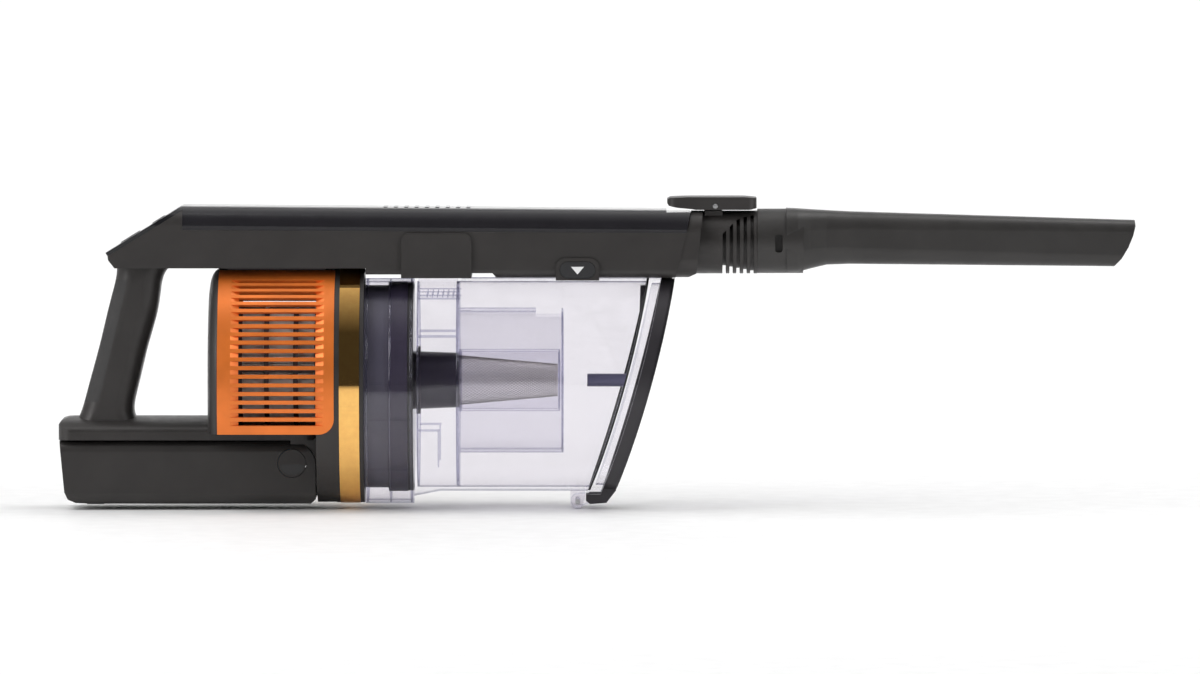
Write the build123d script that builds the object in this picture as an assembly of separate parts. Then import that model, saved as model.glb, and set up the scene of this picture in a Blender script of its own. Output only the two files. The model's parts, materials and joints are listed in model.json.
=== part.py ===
from build123d import *
import math
import os

os.makedirs("parts", exist_ok=True)

# Handheld vacuum with a crevice tool.  Millimetres.  X runs from the back of
# the battery base to the tip of the tool, Z is up, and the two sides mirror
# in the plane Y = 0.  "Right" is the -Y side, "left" the +Y side.

# --- clearances ------------------------------------------------------------
SLIDE_GAP = 0.3            # between pieces that slide or turn on each other
SEAM_GAP = 0.1             # between fixed pieces that only meet at a seam
WALL = 2.4                 # moulded wall

# --- motor pod: an upright oval tube ---------------------------------------
POD_HALF_WIDTH = 54.0
POD_HALF_HEIGHT = 72.5
POD_Z = POD_HALF_HEIGHT
POD_TOP = 2 * POD_HALF_HEIGHT
CAP_REAR = 93.0
CAP_LENGTH = 6.0
POD_REAR = CAP_REAR + CAP_LENGTH
POD_LENGTH = 72.7
POD_FRONT = POD_REAR + POD_LENGTH
POD_CHIN_LENGTH = 11.7     # the part of the pod that reaches down past the battery
GRILLE_WALL = 2.2
POD_INNER = GRILLE_WALL + WALL
SPINE_HALF_WIDTH = 8.0     # solid strip along the top between the two grilles
SLOT_COUNT = 19
SLOT_LENGTH = 47.4
SLOT_RAMP = 5.0
SLOT_SHARE = 0.54          # slot height as a share of the pitch
SLOT_LOW, SLOT_HIGH = 0.355, 0.95   # first and last slot as shares of the pod height

# --- trim ring in front of the pod -----------------------------------------
CARRIER_LENGTH = 17.4
CARRIER_FRONT = POD_FRONT + CARRIER_LENGTH
TRIM_MARGIN = 2.5          # dark lip left showing on each side of the trim ring
TRIM_DEPTH = 1.6
TRIM_PROUD = 0.6

# --- clear collar, dust cup and door ---------------------------------------
COLLAR_LENGTH = 30.0
COLLAR_REAR = CARRIER_FRONT + 0.5
COLLAR_FRONT = COLLAR_REAR + COLLAR_LENGTH
COLLAR_HALF_WIDTH = POD_HALF_WIDTH - 1.5
COLLAR_HALF_HEIGHT = POD_HALF_HEIGHT - 2.7
COLLAR_Z = POD_Z - 3.4
COLLAR_WALL = 1.6
CUP_LENGTH = 144.4         # along the top edge
CUP_HALF_WIDTH = POD_HALF_WIDTH - 5.0
CUP_HALF_HEIGHT = POD_HALF_HEIGHT - 6.2
CUP_Z = POD_Z + 0.7
CUP_TOP = CUP_Z + CUP_HALF_HEIGHT
CUP_LOW = CUP_Z - CUP_HALF_HEIGHT
CUP_FLARE_LENGTH = 16.0
DOOR_LEAN = 15.6           # degrees from upright, along the chord of its bow
DOOR_BOW = 3.2             # how far the middle of the door bulges forward
SEAL_THICK = 1.2
DOOR_CLEAR = 7.2           # clear part of the door, measured square to the door
DOOR_RIM = 8.2             # dark rim, measured square to the door
DOOR_PANE = 2.2

# --- cyclone inside the cup ------------------------------------------------
CYCLONE_Z = CUP_Z + 2.4
HUB_LENGTH = 28.4
HUB_RADIUS = 18.5
HUB_FRONT_RADIUS = 16.9
MESH_LENGTH = 60.5
MESH_RADIUS = 15.5
MESH_FRONT_RADIUS = 9.9
MESH_WALL = 0.6
CAGE_RADIUS = 19.3         # clear sleeve around the mesh
CAGE_WALL = 1.3
SHROUD_RADIUS = 45.0
SHROUD_WALL = 1.8
SHROUD_STEP_X = 47.0       # where the notch in its front top edge starts
SHROUD_STEP_DEPTH = 5.0

# --- motor and filters -----------------------------------------------------
MOTOR_Z = POD_Z + 11.5
CAN_RADIUS = 24.0
CAN_WALL = 1.5
CAN_REAR = POD_REAR + 19.0
FAN_REAR = POD_FRONT - 13.2
FAN_RADIUS = 30.0
IMPELLER_RADIUS = 26.0
SHAFT_RADIUS = 2.5
BEARING_RADIUS = 5.5
POLE_COUNT = 6
VENT_RADIUS = 4.0
BLADE_COUNT = 9
DRUM_RADIUS = 36.8
DRUM_INNER = 30.8
DRUM_REAR = POD_REAR + 11.0
FILTER_RING = 12.0         # length of the wide front ring of the filter housing
FILTER_BODY = 14.9

# --- long upper body -------------------------------------------------------
DUCT_HALF_WIDTH = 25.0
DUCT_TOP_RADIUS = 12.0
DUCT_LOW_RADIUS = 5.0
HEAD_LOW = POD_TOP + 1.0
HEEL_LOW = POD_TOP - 2.8    # upper body between the trim ring and the inlet
DUCT_LOW = POD_TOP - 5.0
WAIST_LOW = DUCT_LOW + 3.0
BODY_TOP_REAR = POD_TOP + 39.8
BODY_TOP_FRONT = POD_TOP + 36.7
COVER_EDGE_REAR = POD_TOP + 24.9
COVER_EDGE_FRONT = POD_TOP + 23.0
TAIL_X = 29.5
TAIL_Z = POD_TOP + 10.6
SLOPE = 31.6               # degrees, rise of the control face
SLOPE_LENGTH = 55.7
COVER_REAR = TAIL_X + SLOPE_LENGTH * math.cos(math.radians(SLOPE))
HEAD_FRONT = POD_FRONT + 18.3
BODY_OVERHANG = 17.3       # upper body past the top of the cup
BODY_FRONT = COLLAR_FRONT + CUP_LENGTH + BODY_OVERHANG   # at the bottom edge of the front seam
SEAM_LEAN = 14.0           # degrees from upright, front seam
PANEL_THICK = 2.5
TOP_RIB_COUNT = 9          # low ribs across the cover, above the inlet
TOP_RIB_PITCH = 6.4
TOP_RIB_LENGTH = 2.4
TOP_RIB_PROUD = 0.4

# --- inlet between duct and cup --------------------------------------------
INLET_REAR = COLLAR_FRONT + 2.9
INLET_LENGTH = 24.0
INLET_FRONT = INLET_REAR + INLET_LENGTH
INLET_HALF_WIDTH = 10.0
INLET_RIM = 2.6
SADDLE_REAR = COLLAR_FRONT - 7.6
SADDLE_LENGTH = 43.4
SADDLE_PROUD = 2.0

# --- nozzle, release lever and tool ----------------------------------------
NOZZLE_Z = DUCT_LOW + 21.3
NOZZLE_RADIUS = 19.5
NOZZLE_LENGTH = 50.8
NOZZLE_FRONT = BODY_FRONT + NOZZLE_LENGTH
FLANGE_LENGTH = 8.0
NECK_RADIUS = 12.7
NECK_WALL = 1.5
NECK_LENGTH = 30.0
BORE_RADIUS = NECK_RADIUS + SLIDE_GAP
RIB_COUNT = 5
RIB_PITCH = 4.3
RIB_ZONE = RIB_COUNT * RIB_PITCH
LEVER_HALF_WIDTH = 14.5
PIN_RADIUS = 1.5
TOOL_COLLAR_LENGTH = 28.5
TOOL_LENGTH = 233.8
TOOL_WALL = 1.8

# --- handle and base -------------------------------------------------------
BASE_HALF_WIDTH = 26.0
BATTERY_HALF_WIDTH = 25.0
BATTERY_TOP = 39.2
BASE_LOW = BATTERY_TOP + 0.5
DECK_EDGE = 44.6
DECK_TOP = 53.6
BASE_FRONT = POD_FRONT - POD_CHIN_LENGTH
HANDLE_HALF_WIDTH = 17.0
HANDLE_RISE = HEAD_LOW - DECK_TOP
PALM_THICK = 1.8
SCREW_RADIUS = 1.4
SCREW_HEAD_RADIUS = 2.8
SCREW_HEAD_DEPTH = 5.0     # from the left side down to the head
SCREW_REACH = 8.0          # how far the thread goes past the middle plane
BOSS_WALL = 0.4
# Handle sections: share of the rise from deck to head, back X, front X.
HANDLE_SECTIONS = (
    (-0.07, 8.0, 53.0),
    (0.07, 14.6, 46.0),
    (0.34, 21.5, 51.6),
    (0.57, 27.0, 57.2),
    (0.77, 31.5, 61.6),
    (0.92, 35.0, 63.7),
    (1.04, 34.0, 76.0),
)

# --- battery ---------------------------------------------------------------
BATTERY_REAR = 0.6
BATTERY_FRONT = POD_FRONT - POD_CHIN_LENGTH - 1.0
BATTERY_WALL = 1.6
BATTERY_CORNER = 15.5      # radius of the front top corner
BATTERY_LID_EDGE = BATTERY_TOP - 2.3
CELL_RADIUS = 9.2
CELL_LENGTH = 65.0
CELL_PITCH = 18.6
TONGUE_REAR, TONGUE_FRONT = 4.0, 72.0
TONGUE_HALF_WIDTH = 18.0
TONGUE_NECK = 15.0         # half width of the narrow part under the tongue's lips
TONGUE_HEIGHT = 4.8
CONTACT_REAR = TONGUE_FRONT + 3.2
CONTACT_Z = BATTERY_TOP + 0.8 * TONGUE_HEIGHT
LATCH_RADIUS = 8.6
LATCH_X = BATTERY_FRONT - 14.6
LATCH_Z = 25.4

# --- buttons ---------------------------------------------------------------
POWER_RADIUS = 7.0
MODE_RADIUS = 4.6
BUTTON_PROUD = 0.4
DOOR_BUTTON_X = COLLAR_FRONT + 101.3
DOOR_BUTTON_Z = DUCT_LOW + 5.0
DOOR_BUTTON_LENGTH = 21.7
DOOR_BUTTON_HEIGHT = 10.0
BUTTON_PAD_PROUD = 1.5

# --- door hinge ------------------------------------------------------------
HINGE_X = COLLAR_FRONT + 101.4
HINGE_Z = CUP_LOW - 6.1
HINGE_PIN_RADIUS = 1.6
HINGE_LUG_RADIUS = 4.5
ARM_HALF_WIDTH = 8.7
LUG_OUTER = 14.0


# ---------------------------------------------------------------------------
# Shared shapes
# ---------------------------------------------------------------------------
def box(x0, x1, y0, y1, z0, z1):
    """Block between two opposite corners."""
    centre = Pos((x0 + x1) / 2, (y0 + y1) / 2, (z0 + z1) / 2)
    return centre * Box(x1 - x0, y1 - y0, z1 - z0)


def wide_box(x0, x1, half_width, z0, z1):
    """Block centred on the middle plane."""
    return box(x0, x1, -half_width, half_width, z0, z1)


def both_sides(shape):
    """The shape together with its mirror image in the middle plane."""
    return shape + mirror(shape, about=Plane.XZ)


def prism(outline, half_width):
    """Closed side outline of (x, z) points, extruded to both sides."""
    face = make_face(Plane.XZ * Polyline(*outline, close=True))
    return extrude(face, half_width, both=True)


def rod_x(x0, x1, radius, z, y=0.0):
    """Round bar along X."""
    return extrude(Plane.YZ.offset(x0) * Pos(y, z) * Circle(radius), x1 - x0)


def rod_y(x, z, radius, y0, y1):
    """Round bar along Y."""
    return extrude(Plane.XZ.offset(-y0) * Pos(x, z) * Circle(radius), y0 - y1)


def tube_x(x0, x1, outer, inner, z):
    """Round tube along X."""
    return rod_x(x0, x1, outer, z) - rod_x(x0, x1, inner, z)


def cone_x(x0, x1, radius0, radius1, z):
    """Tapered round bar along X."""
    sections = [
        Plane.YZ.offset(x0) * Pos(0, z) * Circle(radius0),
        Plane.YZ.offset(x1) * Pos(0, z) * Circle(radius1),
    ]
    return loft(sections, ruled=True)


def oval(x0, x1, half_width, half_height, z):
    """Oval bar along X."""
    face = Plane.YZ.offset(x0) * Pos(0, z) * Ellipse(half_width, half_height)
    return extrude(face, x1 - x0)


def oval_tube(x0, x1, half_width, half_height, z, wall):
    """Oval tube along X."""
    outer = oval(x0, x1, half_width, half_height, z)
    return outer - oval(x0, x1, half_width - wall, half_height - wall, z)


def oval_height(y, half_width, half_height):
    """Height of an oval above its centre at a given distance to the side."""
    return half_height * math.sqrt(1 - (y / half_width) ** 2)


def pod_bar(x0, x1, inset):
    """Solid bar with the pod's oval section, shrunk by an inset."""
    return oval(x0, x1, POD_HALF_WIDTH - inset, POD_HALF_HEIGHT - inset, POD_Z)


def cup_bar(x0, x1, inset):
    """Solid bar with the cup's oval section, shrunk by an inset."""
    return oval(x0, x1, CUP_HALF_WIDTH - inset, CUP_HALF_HEIGHT - inset, CUP_Z)


def body_section(x, z_top, inset):
    """Cross-section of the upper body: flat sides, wide round top edges."""
    z_low = DUCT_LOW + inset
    z_high = z_top - inset
    face = Rectangle(2 * (DUCT_HALF_WIDTH - inset), z_high - z_low)
    face = fillet(face.vertices().group_by(Axis.Y)[-1], DUCT_TOP_RADIUS - inset)
    face = fillet(face.vertices().group_by(Axis.Y)[0], DUCT_LOW_RADIUS - inset)
    return Plane.YZ.offset(x) * Pos(0, (z_low + z_high) / 2) * face


def body_bar(inset):
    """The whole upper body as one solid bar from tail to front seam."""
    rear = body_section(TAIL_X - 5, BODY_TOP_REAR, inset)
    front = body_section(BODY_FRONT + 20, BODY_TOP_FRONT, inset)
    return loft([rear, front], ruled=True)


def seam_x(z):
    """X of the leaning front seam at a height."""
    return BODY_FRONT + (z - DUCT_LOW) * math.tan(math.radians(SEAM_LEAN))


def cover_edge_z(x):
    """Height of the top cover's lower edge."""
    share = (x - COVER_REAR) / (seam_x(COVER_EDGE_FRONT) - COVER_REAR)
    return COVER_EDGE_REAR + share * (COVER_EDGE_FRONT - COVER_EDGE_REAR)


def slope_frame(along=0.0):
    """Frame on the control face: X up the slope, Z square out of the face."""
    angle = math.radians(SLOPE)
    up = (math.cos(angle), 0, math.sin(angle))
    origin = (TAIL_X + along * up[0], 0, TAIL_Z + along * up[2])
    return Plane(origin=origin, x_dir=up, z_dir=(-up[2], 0, up[0]))


def slope_point(along, depth):
    """The (x, z) of a point up the slope and at a depth below the control face."""
    angle = math.radians(SLOPE)
    x = TAIL_X + along * math.cos(angle) + depth * math.sin(angle)
    z = TAIL_Z + along * math.sin(angle) - depth * math.cos(angle)
    return (x, z)


def door_plane_x(z, depth=0.0):
    """X of the door's bowed face, or of one parallel to it, at a height."""
    lean = math.radians(DOOR_LEAN)
    edge_top = COLLAR_FRONT + CUP_LENGTH
    chord = edge_top + (z - CUP_TOP) * math.tan(lean)
    bow = DOOR_BOW * (1 - ((z - CUP_Z) / CUP_HALF_HEIGHT) ** 2)
    return chord + bow + depth / math.cos(lean)


def door_arc(depth):
    """Bowed side line of the door at a depth, from below the cup to above it."""
    heights = (CUP_LOW - 20, CUP_Z, CUP_TOP + 20)
    return ThreePointArc(*[(door_plane_x(z, depth), z) for z in heights])


def door_slice(shape, depth0, depth1):
    """The part of a shape between two faces parallel to the door."""
    rear, front = door_arc(depth0), door_arc(depth1)
    outline = rear + Line(rear @ 1, front @ 1) + front + Line(front @ 0, rear @ 0)
    face = make_face(Plane.XZ * outline)
    return shape & extrude(face, 2 * CUP_HALF_WIDTH, both=True)


# ---------------------------------------------------------------------------
# Rear housing: head, handle and base, in two halves
# ---------------------------------------------------------------------------
def handle_bar(inset):
    """Leaning handle with rounded oblong sections, shrunk by an inset."""
    sections = []
    for share, back, front in HANDLE_SECTIONS:
        z = DECK_TOP + share * HANDLE_RISE
        width = front - back - 2 * inset
        depth = 2 * (HANDLE_HALF_WIDTH - inset)
        face = RectangleRounded(width, depth, 11.0 - inset)
        sections.append(Plane.XY.offset(z) * Pos((back + front) / 2, 0) * face)
    return loft(sections)


def palm_region():
    """Side outline of the soft strip down the back of the handle."""
    low = DECK_TOP + 0.1 * HANDLE_RISE
    high = DECK_TOP + 0.92 * HANDLE_RISE
    outline = [(-5, low), (24.8, low), (42.8, high), (-5, high)]
    return prism(outline, DUCT_HALF_WIDTH)


def palm_strip():
    """Soft strip, a skin over the back of the handle."""
    return (handle_bar(0) - handle_bar(PALM_THICK)) & palm_region()


def head_bar():
    """Rear end of the upper body, below the control panel and the top cover."""
    outline = [
        slope_point(0, PANEL_THICK),
        slope_point(SLOPE_LENGTH - 1.6, PANEL_THICK),
        (COVER_REAR - SEAM_GAP, COVER_EDGE_REAR - SEAM_GAP),
        (HEAD_FRONT, cover_edge_z(HEAD_FRONT) - SEAM_GAP),
        (HEAD_FRONT, HEAD_LOW),
        (TAIL_X + 5.5, HEAD_LOW),
        (TAIL_X + 1.6, HEAD_LOW + 5.0),
    ]
    return body_bar(0) & prism(outline, 2 * DUCT_HALF_WIDTH)


def base_bar():
    """Battery base: a slab with a domed deck behind the pod."""
    plan = Pos(BASE_FRONT / 2, 0) * RectangleRounded(BASE_FRONT, 2 * BASE_HALF_WIDTH, 8)
    slab = extrude(Plane.XY.offset(BASE_LOW) * plan, DECK_TOP - BASE_LOW)
    rise = DECK_TOP - DECK_EDGE
    dome = oval(0, CAP_REAR - SEAM_GAP, BASE_HALF_WIDTH, rise, DECK_EDGE)
    roof = dome + wide_box(0, BASE_FRONT, BASE_HALF_WIDTH, BASE_LOW, DECK_EDGE)
    outline = [
        (0, BASE_LOW),
        (0, DECK_TOP - 4.5),
        (1.6, DECK_TOP - 2.1),
        (5.5, DECK_TOP - 0.6),
        (11, DECK_TOP),
        (BASE_FRONT, DECK_TOP),
        (BASE_FRONT, BASE_LOW),
    ]
    corner = wide_box(
        BATTERY_FRONT - BATTERY_CORNER, BASE_FRONT, BATTERY_HALF_WIDTH - BATTERY_WALL,
        BATTERY_TOP - BATTERY_CORNER, BASE_LOW + 1,
    )
    return (slab & roof & prism(outline, BASE_HALF_WIDTH)) + (corner - battery_bar(-SLIDE_GAP))


def tongue(gap):
    """Lipped tongue on the battery that slides in the base, grown by a gap."""
    top = BATTERY_TOP + TONGUE_HEIGHT
    lip = BATTERY_TOP + 0.5 * TONGUE_HEIGHT
    rear = TONGUE_REAR if gap == 0 else -1
    front = TONGUE_FRONT + gap
    neck = wide_box(rear, front, TONGUE_NECK + gap, BATTERY_TOP, top)
    return neck + wide_box(rear, front, TONGUE_HALF_WIDTH + gap, lip - gap, top + gap)


def screw_seats():
    """Screw places: x, z and the depth of the head below the left side."""
    low = DECK_TOP + 0.18 * HANDLE_RISE
    high = DECK_TOP + 0.80 * HANDLE_RISE
    mid_head = (HEAD_LOW + COVER_EDGE_REAR) / 2
    return (
        (31.0, low, HANDLE_HALF_WIDTH),
        (47.0, high, HANDLE_HALF_WIDTH),
        (110.0, mid_head, DUCT_HALF_WIDTH),
        (HEAD_FRONT - 16.0, mid_head, DUCT_HALF_WIDTH),
    )


def housing_screw(x, z, side_y):
    """One screw, head towards +Y."""
    head_y = side_y - SCREW_HEAD_DEPTH
    head = rod_y(x, z, SCREW_HEAD_RADIUS, head_y, head_y + 2.0)
    return head + rod_y(x, z, SCREW_RADIUS, -SCREW_REACH, head_y)


def housing_cavity():
    """Hollow space inside head, handle and base."""
    head = prism(
        [
            slope_point(8, PANEL_THICK - 1),
            slope_point(47, PANEL_THICK - 1),
            (COVER_REAR + 3, COVER_EDGE_REAR - 3),
            (HEAD_FRONT - 3, COVER_EDGE_REAR - 3),
            (HEAD_FRONT - 3, HEAD_LOW + WALL),
            (TAIL_X + 14, HEAD_LOW + WALL),
        ],
        DUCT_HALF_WIDTH - 5,
    )
    grip_region = wide_box(0, CAP_REAR, DUCT_HALF_WIDTH, DECK_TOP - 4, HEAD_LOW + 4)
    grip = handle_bar(PALM_THICK + WALL) & grip_region
    contact_well = wide_box(TONGUE_FRONT + 0.5, CAP_REAR - 2, 13, BASE_LOW + 4.6, DECK_TOP - 3)
    blade_run = wide_box(TONGUE_FRONT, CONTACT_REAR + 1.2, 9, CONTACT_Z - 1.2, BASE_LOW + 5)
    wire_run = wide_box(30, TONGUE_FRONT + 1, 3, DECK_TOP - 7, DECK_TOP - 3)
    return head + grip + contact_well + blade_run + wire_run


def rear_housing():
    """Head, handle and base as one shell, with screw bosses."""
    shell = head_bar() + handle_bar(0) + base_bar() - housing_cavity()
    for x, z, side_y in screw_seats():
        boss = SCREW_HEAD_RADIUS + 0.2 + BOSS_WALL
        shell = shell + rod_y(x, z, boss, 2 - side_y, side_y - 2)
    shell = shell - palm_strip() - tongue(SLIDE_GAP)
    for x, z, side_y in screw_seats():
        well = SCREW_HEAD_RADIUS + 0.2
        shell = shell - rod_y(x, z, well, side_y - SCREW_HEAD_DEPTH, side_y + 20)
        shell = shell - rod_y(x, z, SCREW_RADIUS, -SCREW_REACH, side_y)
    return shell


def half(shape, side):
    """The right half (side -1) or the left half (side +1) of a shape."""
    far = 3 * POD_HALF_WIDTH
    if side < 0:
        return shape & box(-50, 700, -far, 0, -50, 400)
    return shape & box(-50, 700, 0, far, -50, 400)


def wiring_path():
    """Centre line of the cable from the battery contacts to the control board."""
    points = [
        (TONGUE_FRONT + 1.5, DECK_TOP - 5),
        (38, DECK_TOP - 5),
        (38.5, DECK_TOP + 0.2 * HANDLE_RISE),
        (46, DECK_TOP + 0.57 * HANDLE_RISE),
        (54, DECK_TOP + 0.83 * HANDLE_RISE),
        slope_point(30, PANEL_THICK + 15),
        slope_point(30, PANEL_THICK + 5.7),
    ]
    return Plane.XZ * FilletPolyline(*points, radius=5)


def wiring():
    """Round cable through the handle."""
    path = wiring_path()
    start = Plane(origin=path @ 0, z_dir=path % 0)
    return sweep(start * Circle(1.4), path=path)


def contact_block():
    """Block of three battery contacts, their blades pointing back."""
    top = DECK_TOP - 3.2
    shape = wide_box(CONTACT_REAR, CAP_REAR - 3, 12, BASE_LOW + 4.7, top)
    for y in (-8, 0, 8):
        y0, y1 = y - 0.4, y + 0.4
        reach = box(TONGUE_FRONT - 10, CONTACT_REAR + 1, y0, y1, CONTACT_Z - 0.8, CONTACT_Z + 0.8)
        riser = box(CONTACT_REAR, CONTACT_REAR + 1, y0, y1, CONTACT_Z - 0.8, BASE_LOW + 5)
        shape = shape + reach + riser
    return shape


# ---------------------------------------------------------------------------
# Control panel
# ---------------------------------------------------------------------------
POWER_ALONG, LENS_ALONG, MODE_ALONG = 17.0, 28.0, 37.5


def panel_round_hole(along, radius):
    """Cutter for a round button hole in the control face."""
    return extrude(slope_frame(along) * Circle(radius), -12)


def lens_bar(gap):
    """Strip-shaped status window, grown by a gap."""
    face = slope_frame(LENS_ALONG) * RectangleRounded(3 + 2 * gap, 14 + 2 * gap, 1.2 + gap)
    return extrude(face, -PANEL_THICK)


def control_panel():
    """Plate over the sloping rear face, with two button holes and a window."""
    outline = [
        slope_point(0, 0),
        slope_point(SLOPE_LENGTH, 0),
        slope_point(SLOPE_LENGTH - 1.6, PANEL_THICK - SEAM_GAP),
        slope_point(0, PANEL_THICK - SEAM_GAP),
    ]
    plate = body_bar(0) & prism(outline, 2 * DUCT_HALF_WIDTH)
    plate = plate - panel_round_hole(POWER_ALONG, POWER_RADIUS + SLIDE_GAP)
    plate = plate - panel_round_hole(MODE_ALONG, MODE_RADIUS + SLIDE_GAP)
    return plate - lens_bar(0)


def panel_button(along, radius):
    """Round button with a wider foot under the panel."""
    frame = slope_frame(along)
    top = extrude(frame.offset(BUTTON_PROUD) * Circle(radius), -BUTTON_PROUD - 4.4)
    foot = extrude(frame.offset(-PANEL_THICK - 0.4) * Circle(radius + 1.2), -1.5)
    return top + foot


def control_board():
    """Circuit board under the panel, held by its long edges."""
    length = 38.0
    face = slope_frame(27.5).offset(-PANEL_THICK - 4.1) * Rectangle(length, 2 * DUCT_HALF_WIDTH - 10)
    return extrude(face, -1.6)


# ---------------------------------------------------------------------------
# Upper body: top cover, duct shell, air duct, inlet
# ---------------------------------------------------------------------------
def cover_region(inset):
    """Side outline of the top cover, shrunk at its ends and top edge by an inset."""
    front_low = seam_x(COVER_EDGE_FRONT) - inset
    front_high = seam_x(BODY_TOP_REAR) - inset
    outline = [
        (COVER_REAR + inset, cover_edge_z(COVER_REAR) - 3 * inset),
        (front_low, COVER_EDGE_FRONT - 3 * inset),
        (front_high, BODY_TOP_REAR + 5),
        (COVER_REAR + inset, BODY_TOP_REAR + 5),
    ]
    return prism(outline, 2 * DUCT_HALF_WIDTH)


def top_cover():
    """Glossy cover over the whole upper body, hollow underneath."""
    shell = body_bar(0) & cover_region(0)
    shell = shell - (body_bar(WALL) & cover_region(WALL))
    lever_dish = wide_box(
        seam_x(BODY_TOP_FRONT) - 15.8, seam_x(BODY_TOP_FRONT) + 5, 40,
        BODY_TOP_FRONT - 1.3, BODY_TOP_FRONT + 10,
    )
    shell = shell - lever_dish - air_duct_hole()
    return shell + top_ribs()


def top_ribs():
    """Low ribs across the flat top of the cover."""
    half_width = DUCT_HALF_WIDTH - DUCT_TOP_RADIUS
    bars = None
    for index in range(TOP_RIB_COUNT):
        x = SADDLE_REAR - 11 + TOP_RIB_PITCH * index
        bar = wide_box(x, x + TOP_RIB_LENGTH, half_width, BODY_TOP_FRONT - 1, BODY_TOP_REAR + 5)
        bars = bar if bars is None else bars + bar
    return bars & body_bar(-TOP_RIB_PROUD)


def air_duct_hole():
    """Round hole for the air duct through the front walls of cover and shell."""
    radius = BORE_RADIUS + 2 + SEAM_GAP
    return rod_x(seam_x(DUCT_LOW) - 10, seam_x(BODY_TOP_REAR) + 5, radius, NOZZLE_Z)


def duct_region(inset):
    """Side outline of the duct shell, shrunk by an inset but left open at the top."""
    step_x = SADDLE_REAR + SADDLE_LENGTH + 13
    low = HEEL_LOW + inset
    front_z = COVER_EDGE_FRONT - SEAM_GAP + 3 * inset
    outline = [
        (HEAD_FRONT + inset, cover_edge_z(HEAD_FRONT) - SEAM_GAP + 3 * inset),
        (HEAD_FRONT + inset, low),
        (SADDLE_REAR + inset, low),
        (SADDLE_REAR + inset, WAIST_LOW + inset),
        (step_x + inset, WAIST_LOW + inset),
        (step_x + 2.5 + inset, DUCT_LOW + inset),
        (seam_x(DUCT_LOW + inset) - inset, DUCT_LOW + inset),
        (seam_x(front_z) - inset, front_z),
    ]
    return prism(outline, 2 * DUCT_HALF_WIDTH)


def button_outline(gap):
    """Upright stadium of the door button, grown by a gap."""
    return SlotOverall(DOOR_BUTTON_LENGTH + 2 * gap, DOOR_BUTTON_HEIGHT + 2 * gap)


def button_bar(y_outer, y_inner, gap):
    """The door button's stadium, extruded inwards from the right side."""
    frame = Plane.XZ.offset(y_outer) * Pos(DOOR_BUTTON_X, DOOR_BUTTON_Z)
    return extrude(frame * button_outline(gap), y_inner - y_outer)


def button_pad():
    """Raised arch around the door button on the right side of the duct."""
    half_length = DOOR_BUTTON_LENGTH / 2 + 2.6
    low = DOOR_BUTTON_Z - DOOR_BUTTON_HEIGHT / 2 - 1.4
    high = DOOR_BUTTON_Z + DOOR_BUTTON_HEIGHT / 2 + 2.4
    arch = Pos(0, (low + high) / 2) * Rectangle(2 * half_length, high - low)
    arch = fillet(arch.vertices().group_by(Axis.Y)[-1], 6)
    frame = Plane.XZ.offset(DUCT_HALF_WIDTH + BUTTON_PAD_PROUD) * Pos(DOOR_BUTTON_X, 0)
    return extrude(frame * arch, -BUTTON_PAD_PROUD - 5)


def duct_shell():
    """Lower half of the upper body in front of the head."""
    shell = body_bar(0) & duct_region(0)
    shell = shell - (body_bar(WALL) & duct_region(WALL))
    opening = wide_box(
        INLET_REAR - INLET_RIM - SEAM_GAP, INLET_FRONT + INLET_RIM + SEAM_GAP,
        INLET_HALF_WIDTH + INLET_RIM + SEAM_GAP, WAIST_LOW - 1, WAIST_LOW + 8,
    )
    shell = shell - opening + button_pad()
    shell = shell - button_bar(DUCT_HALF_WIDTH + 5, DUCT_HALF_WIDTH - 12, SLIDE_GAP)
    clear_back = button_bar(DUCT_HALF_WIDTH - 3.2, DUCT_HALF_WIDTH - 12, 1.6)
    return shell - clear_back - air_duct_hole()


def door_button():
    """Door release button: stadium with a shallow triangle, wider foot inside."""
    face_y = DUCT_HALF_WIDTH + BUTTON_PAD_PROUD + 0.3
    top = button_bar(face_y, DUCT_HALF_WIDTH - 5, 0)
    foot = button_bar(DUCT_HALF_WIDTH - 3.5, DUCT_HALF_WIDTH - 5, 1.2)
    mark = Polygon((-4.2, 2.2), (4.2, 2.2), (0, -2.8), align=None)
    frame = Plane.XZ.offset(face_y) * Pos(DOOR_BUTTON_X, DOOR_BUTTON_Z)
    return top + foot - extrude(frame * mark, -0.4)


def inlet_saddle():
    """Cradle under the duct, with raised cheeks on both sides."""
    half_width = DUCT_HALF_WIDTH + SADDLE_PROUD
    cheek_top = COVER_EDGE_FRONT - 0.3
    side = Rectangle(SADDLE_LENGTH, cheek_top - DUCT_LOW)
    side = fillet(side.vertices().group_by(Axis.Y)[-1], 5)
    centre = Pos(SADDLE_REAR + SADDLE_LENGTH / 2, (cheek_top + DUCT_LOW) / 2)
    block = extrude(Plane.XZ * centre * side, half_width, both=True)
    front = SADDLE_REAR + SADDLE_LENGTH
    hollow = wide_box(SADDLE_REAR - 1, front + 1, DUCT_HALF_WIDTH, WAIST_LOW, cheek_top + 1)
    port = wide_box(INLET_REAR, INLET_FRONT, INLET_HALF_WIDTH, DUCT_LOW - 1, WAIST_LOW + 1)
    seat = wide_box(
        INLET_REAR - INLET_RIM, INLET_FRONT + INLET_RIM,
        INLET_HALF_WIDTH + INLET_RIM, DUCT_LOW - 1, DUCT_LOW + 1.5,
    )
    return block - hollow - port - seat


def inlet_gasket():
    """Soft rectangular ring between the cradle and the cup."""
    low = CUP_TOP + SEAM_GAP
    outer = wide_box(
        INLET_REAR - INLET_RIM, INLET_FRONT + INLET_RIM,
        INLET_HALF_WIDTH + INLET_RIM, low, DUCT_LOW + 1.5,
    )
    return outer - wide_box(INLET_REAR, INLET_FRONT, INLET_HALF_WIDTH, low - 1, DUCT_LOW + 2)


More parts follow.
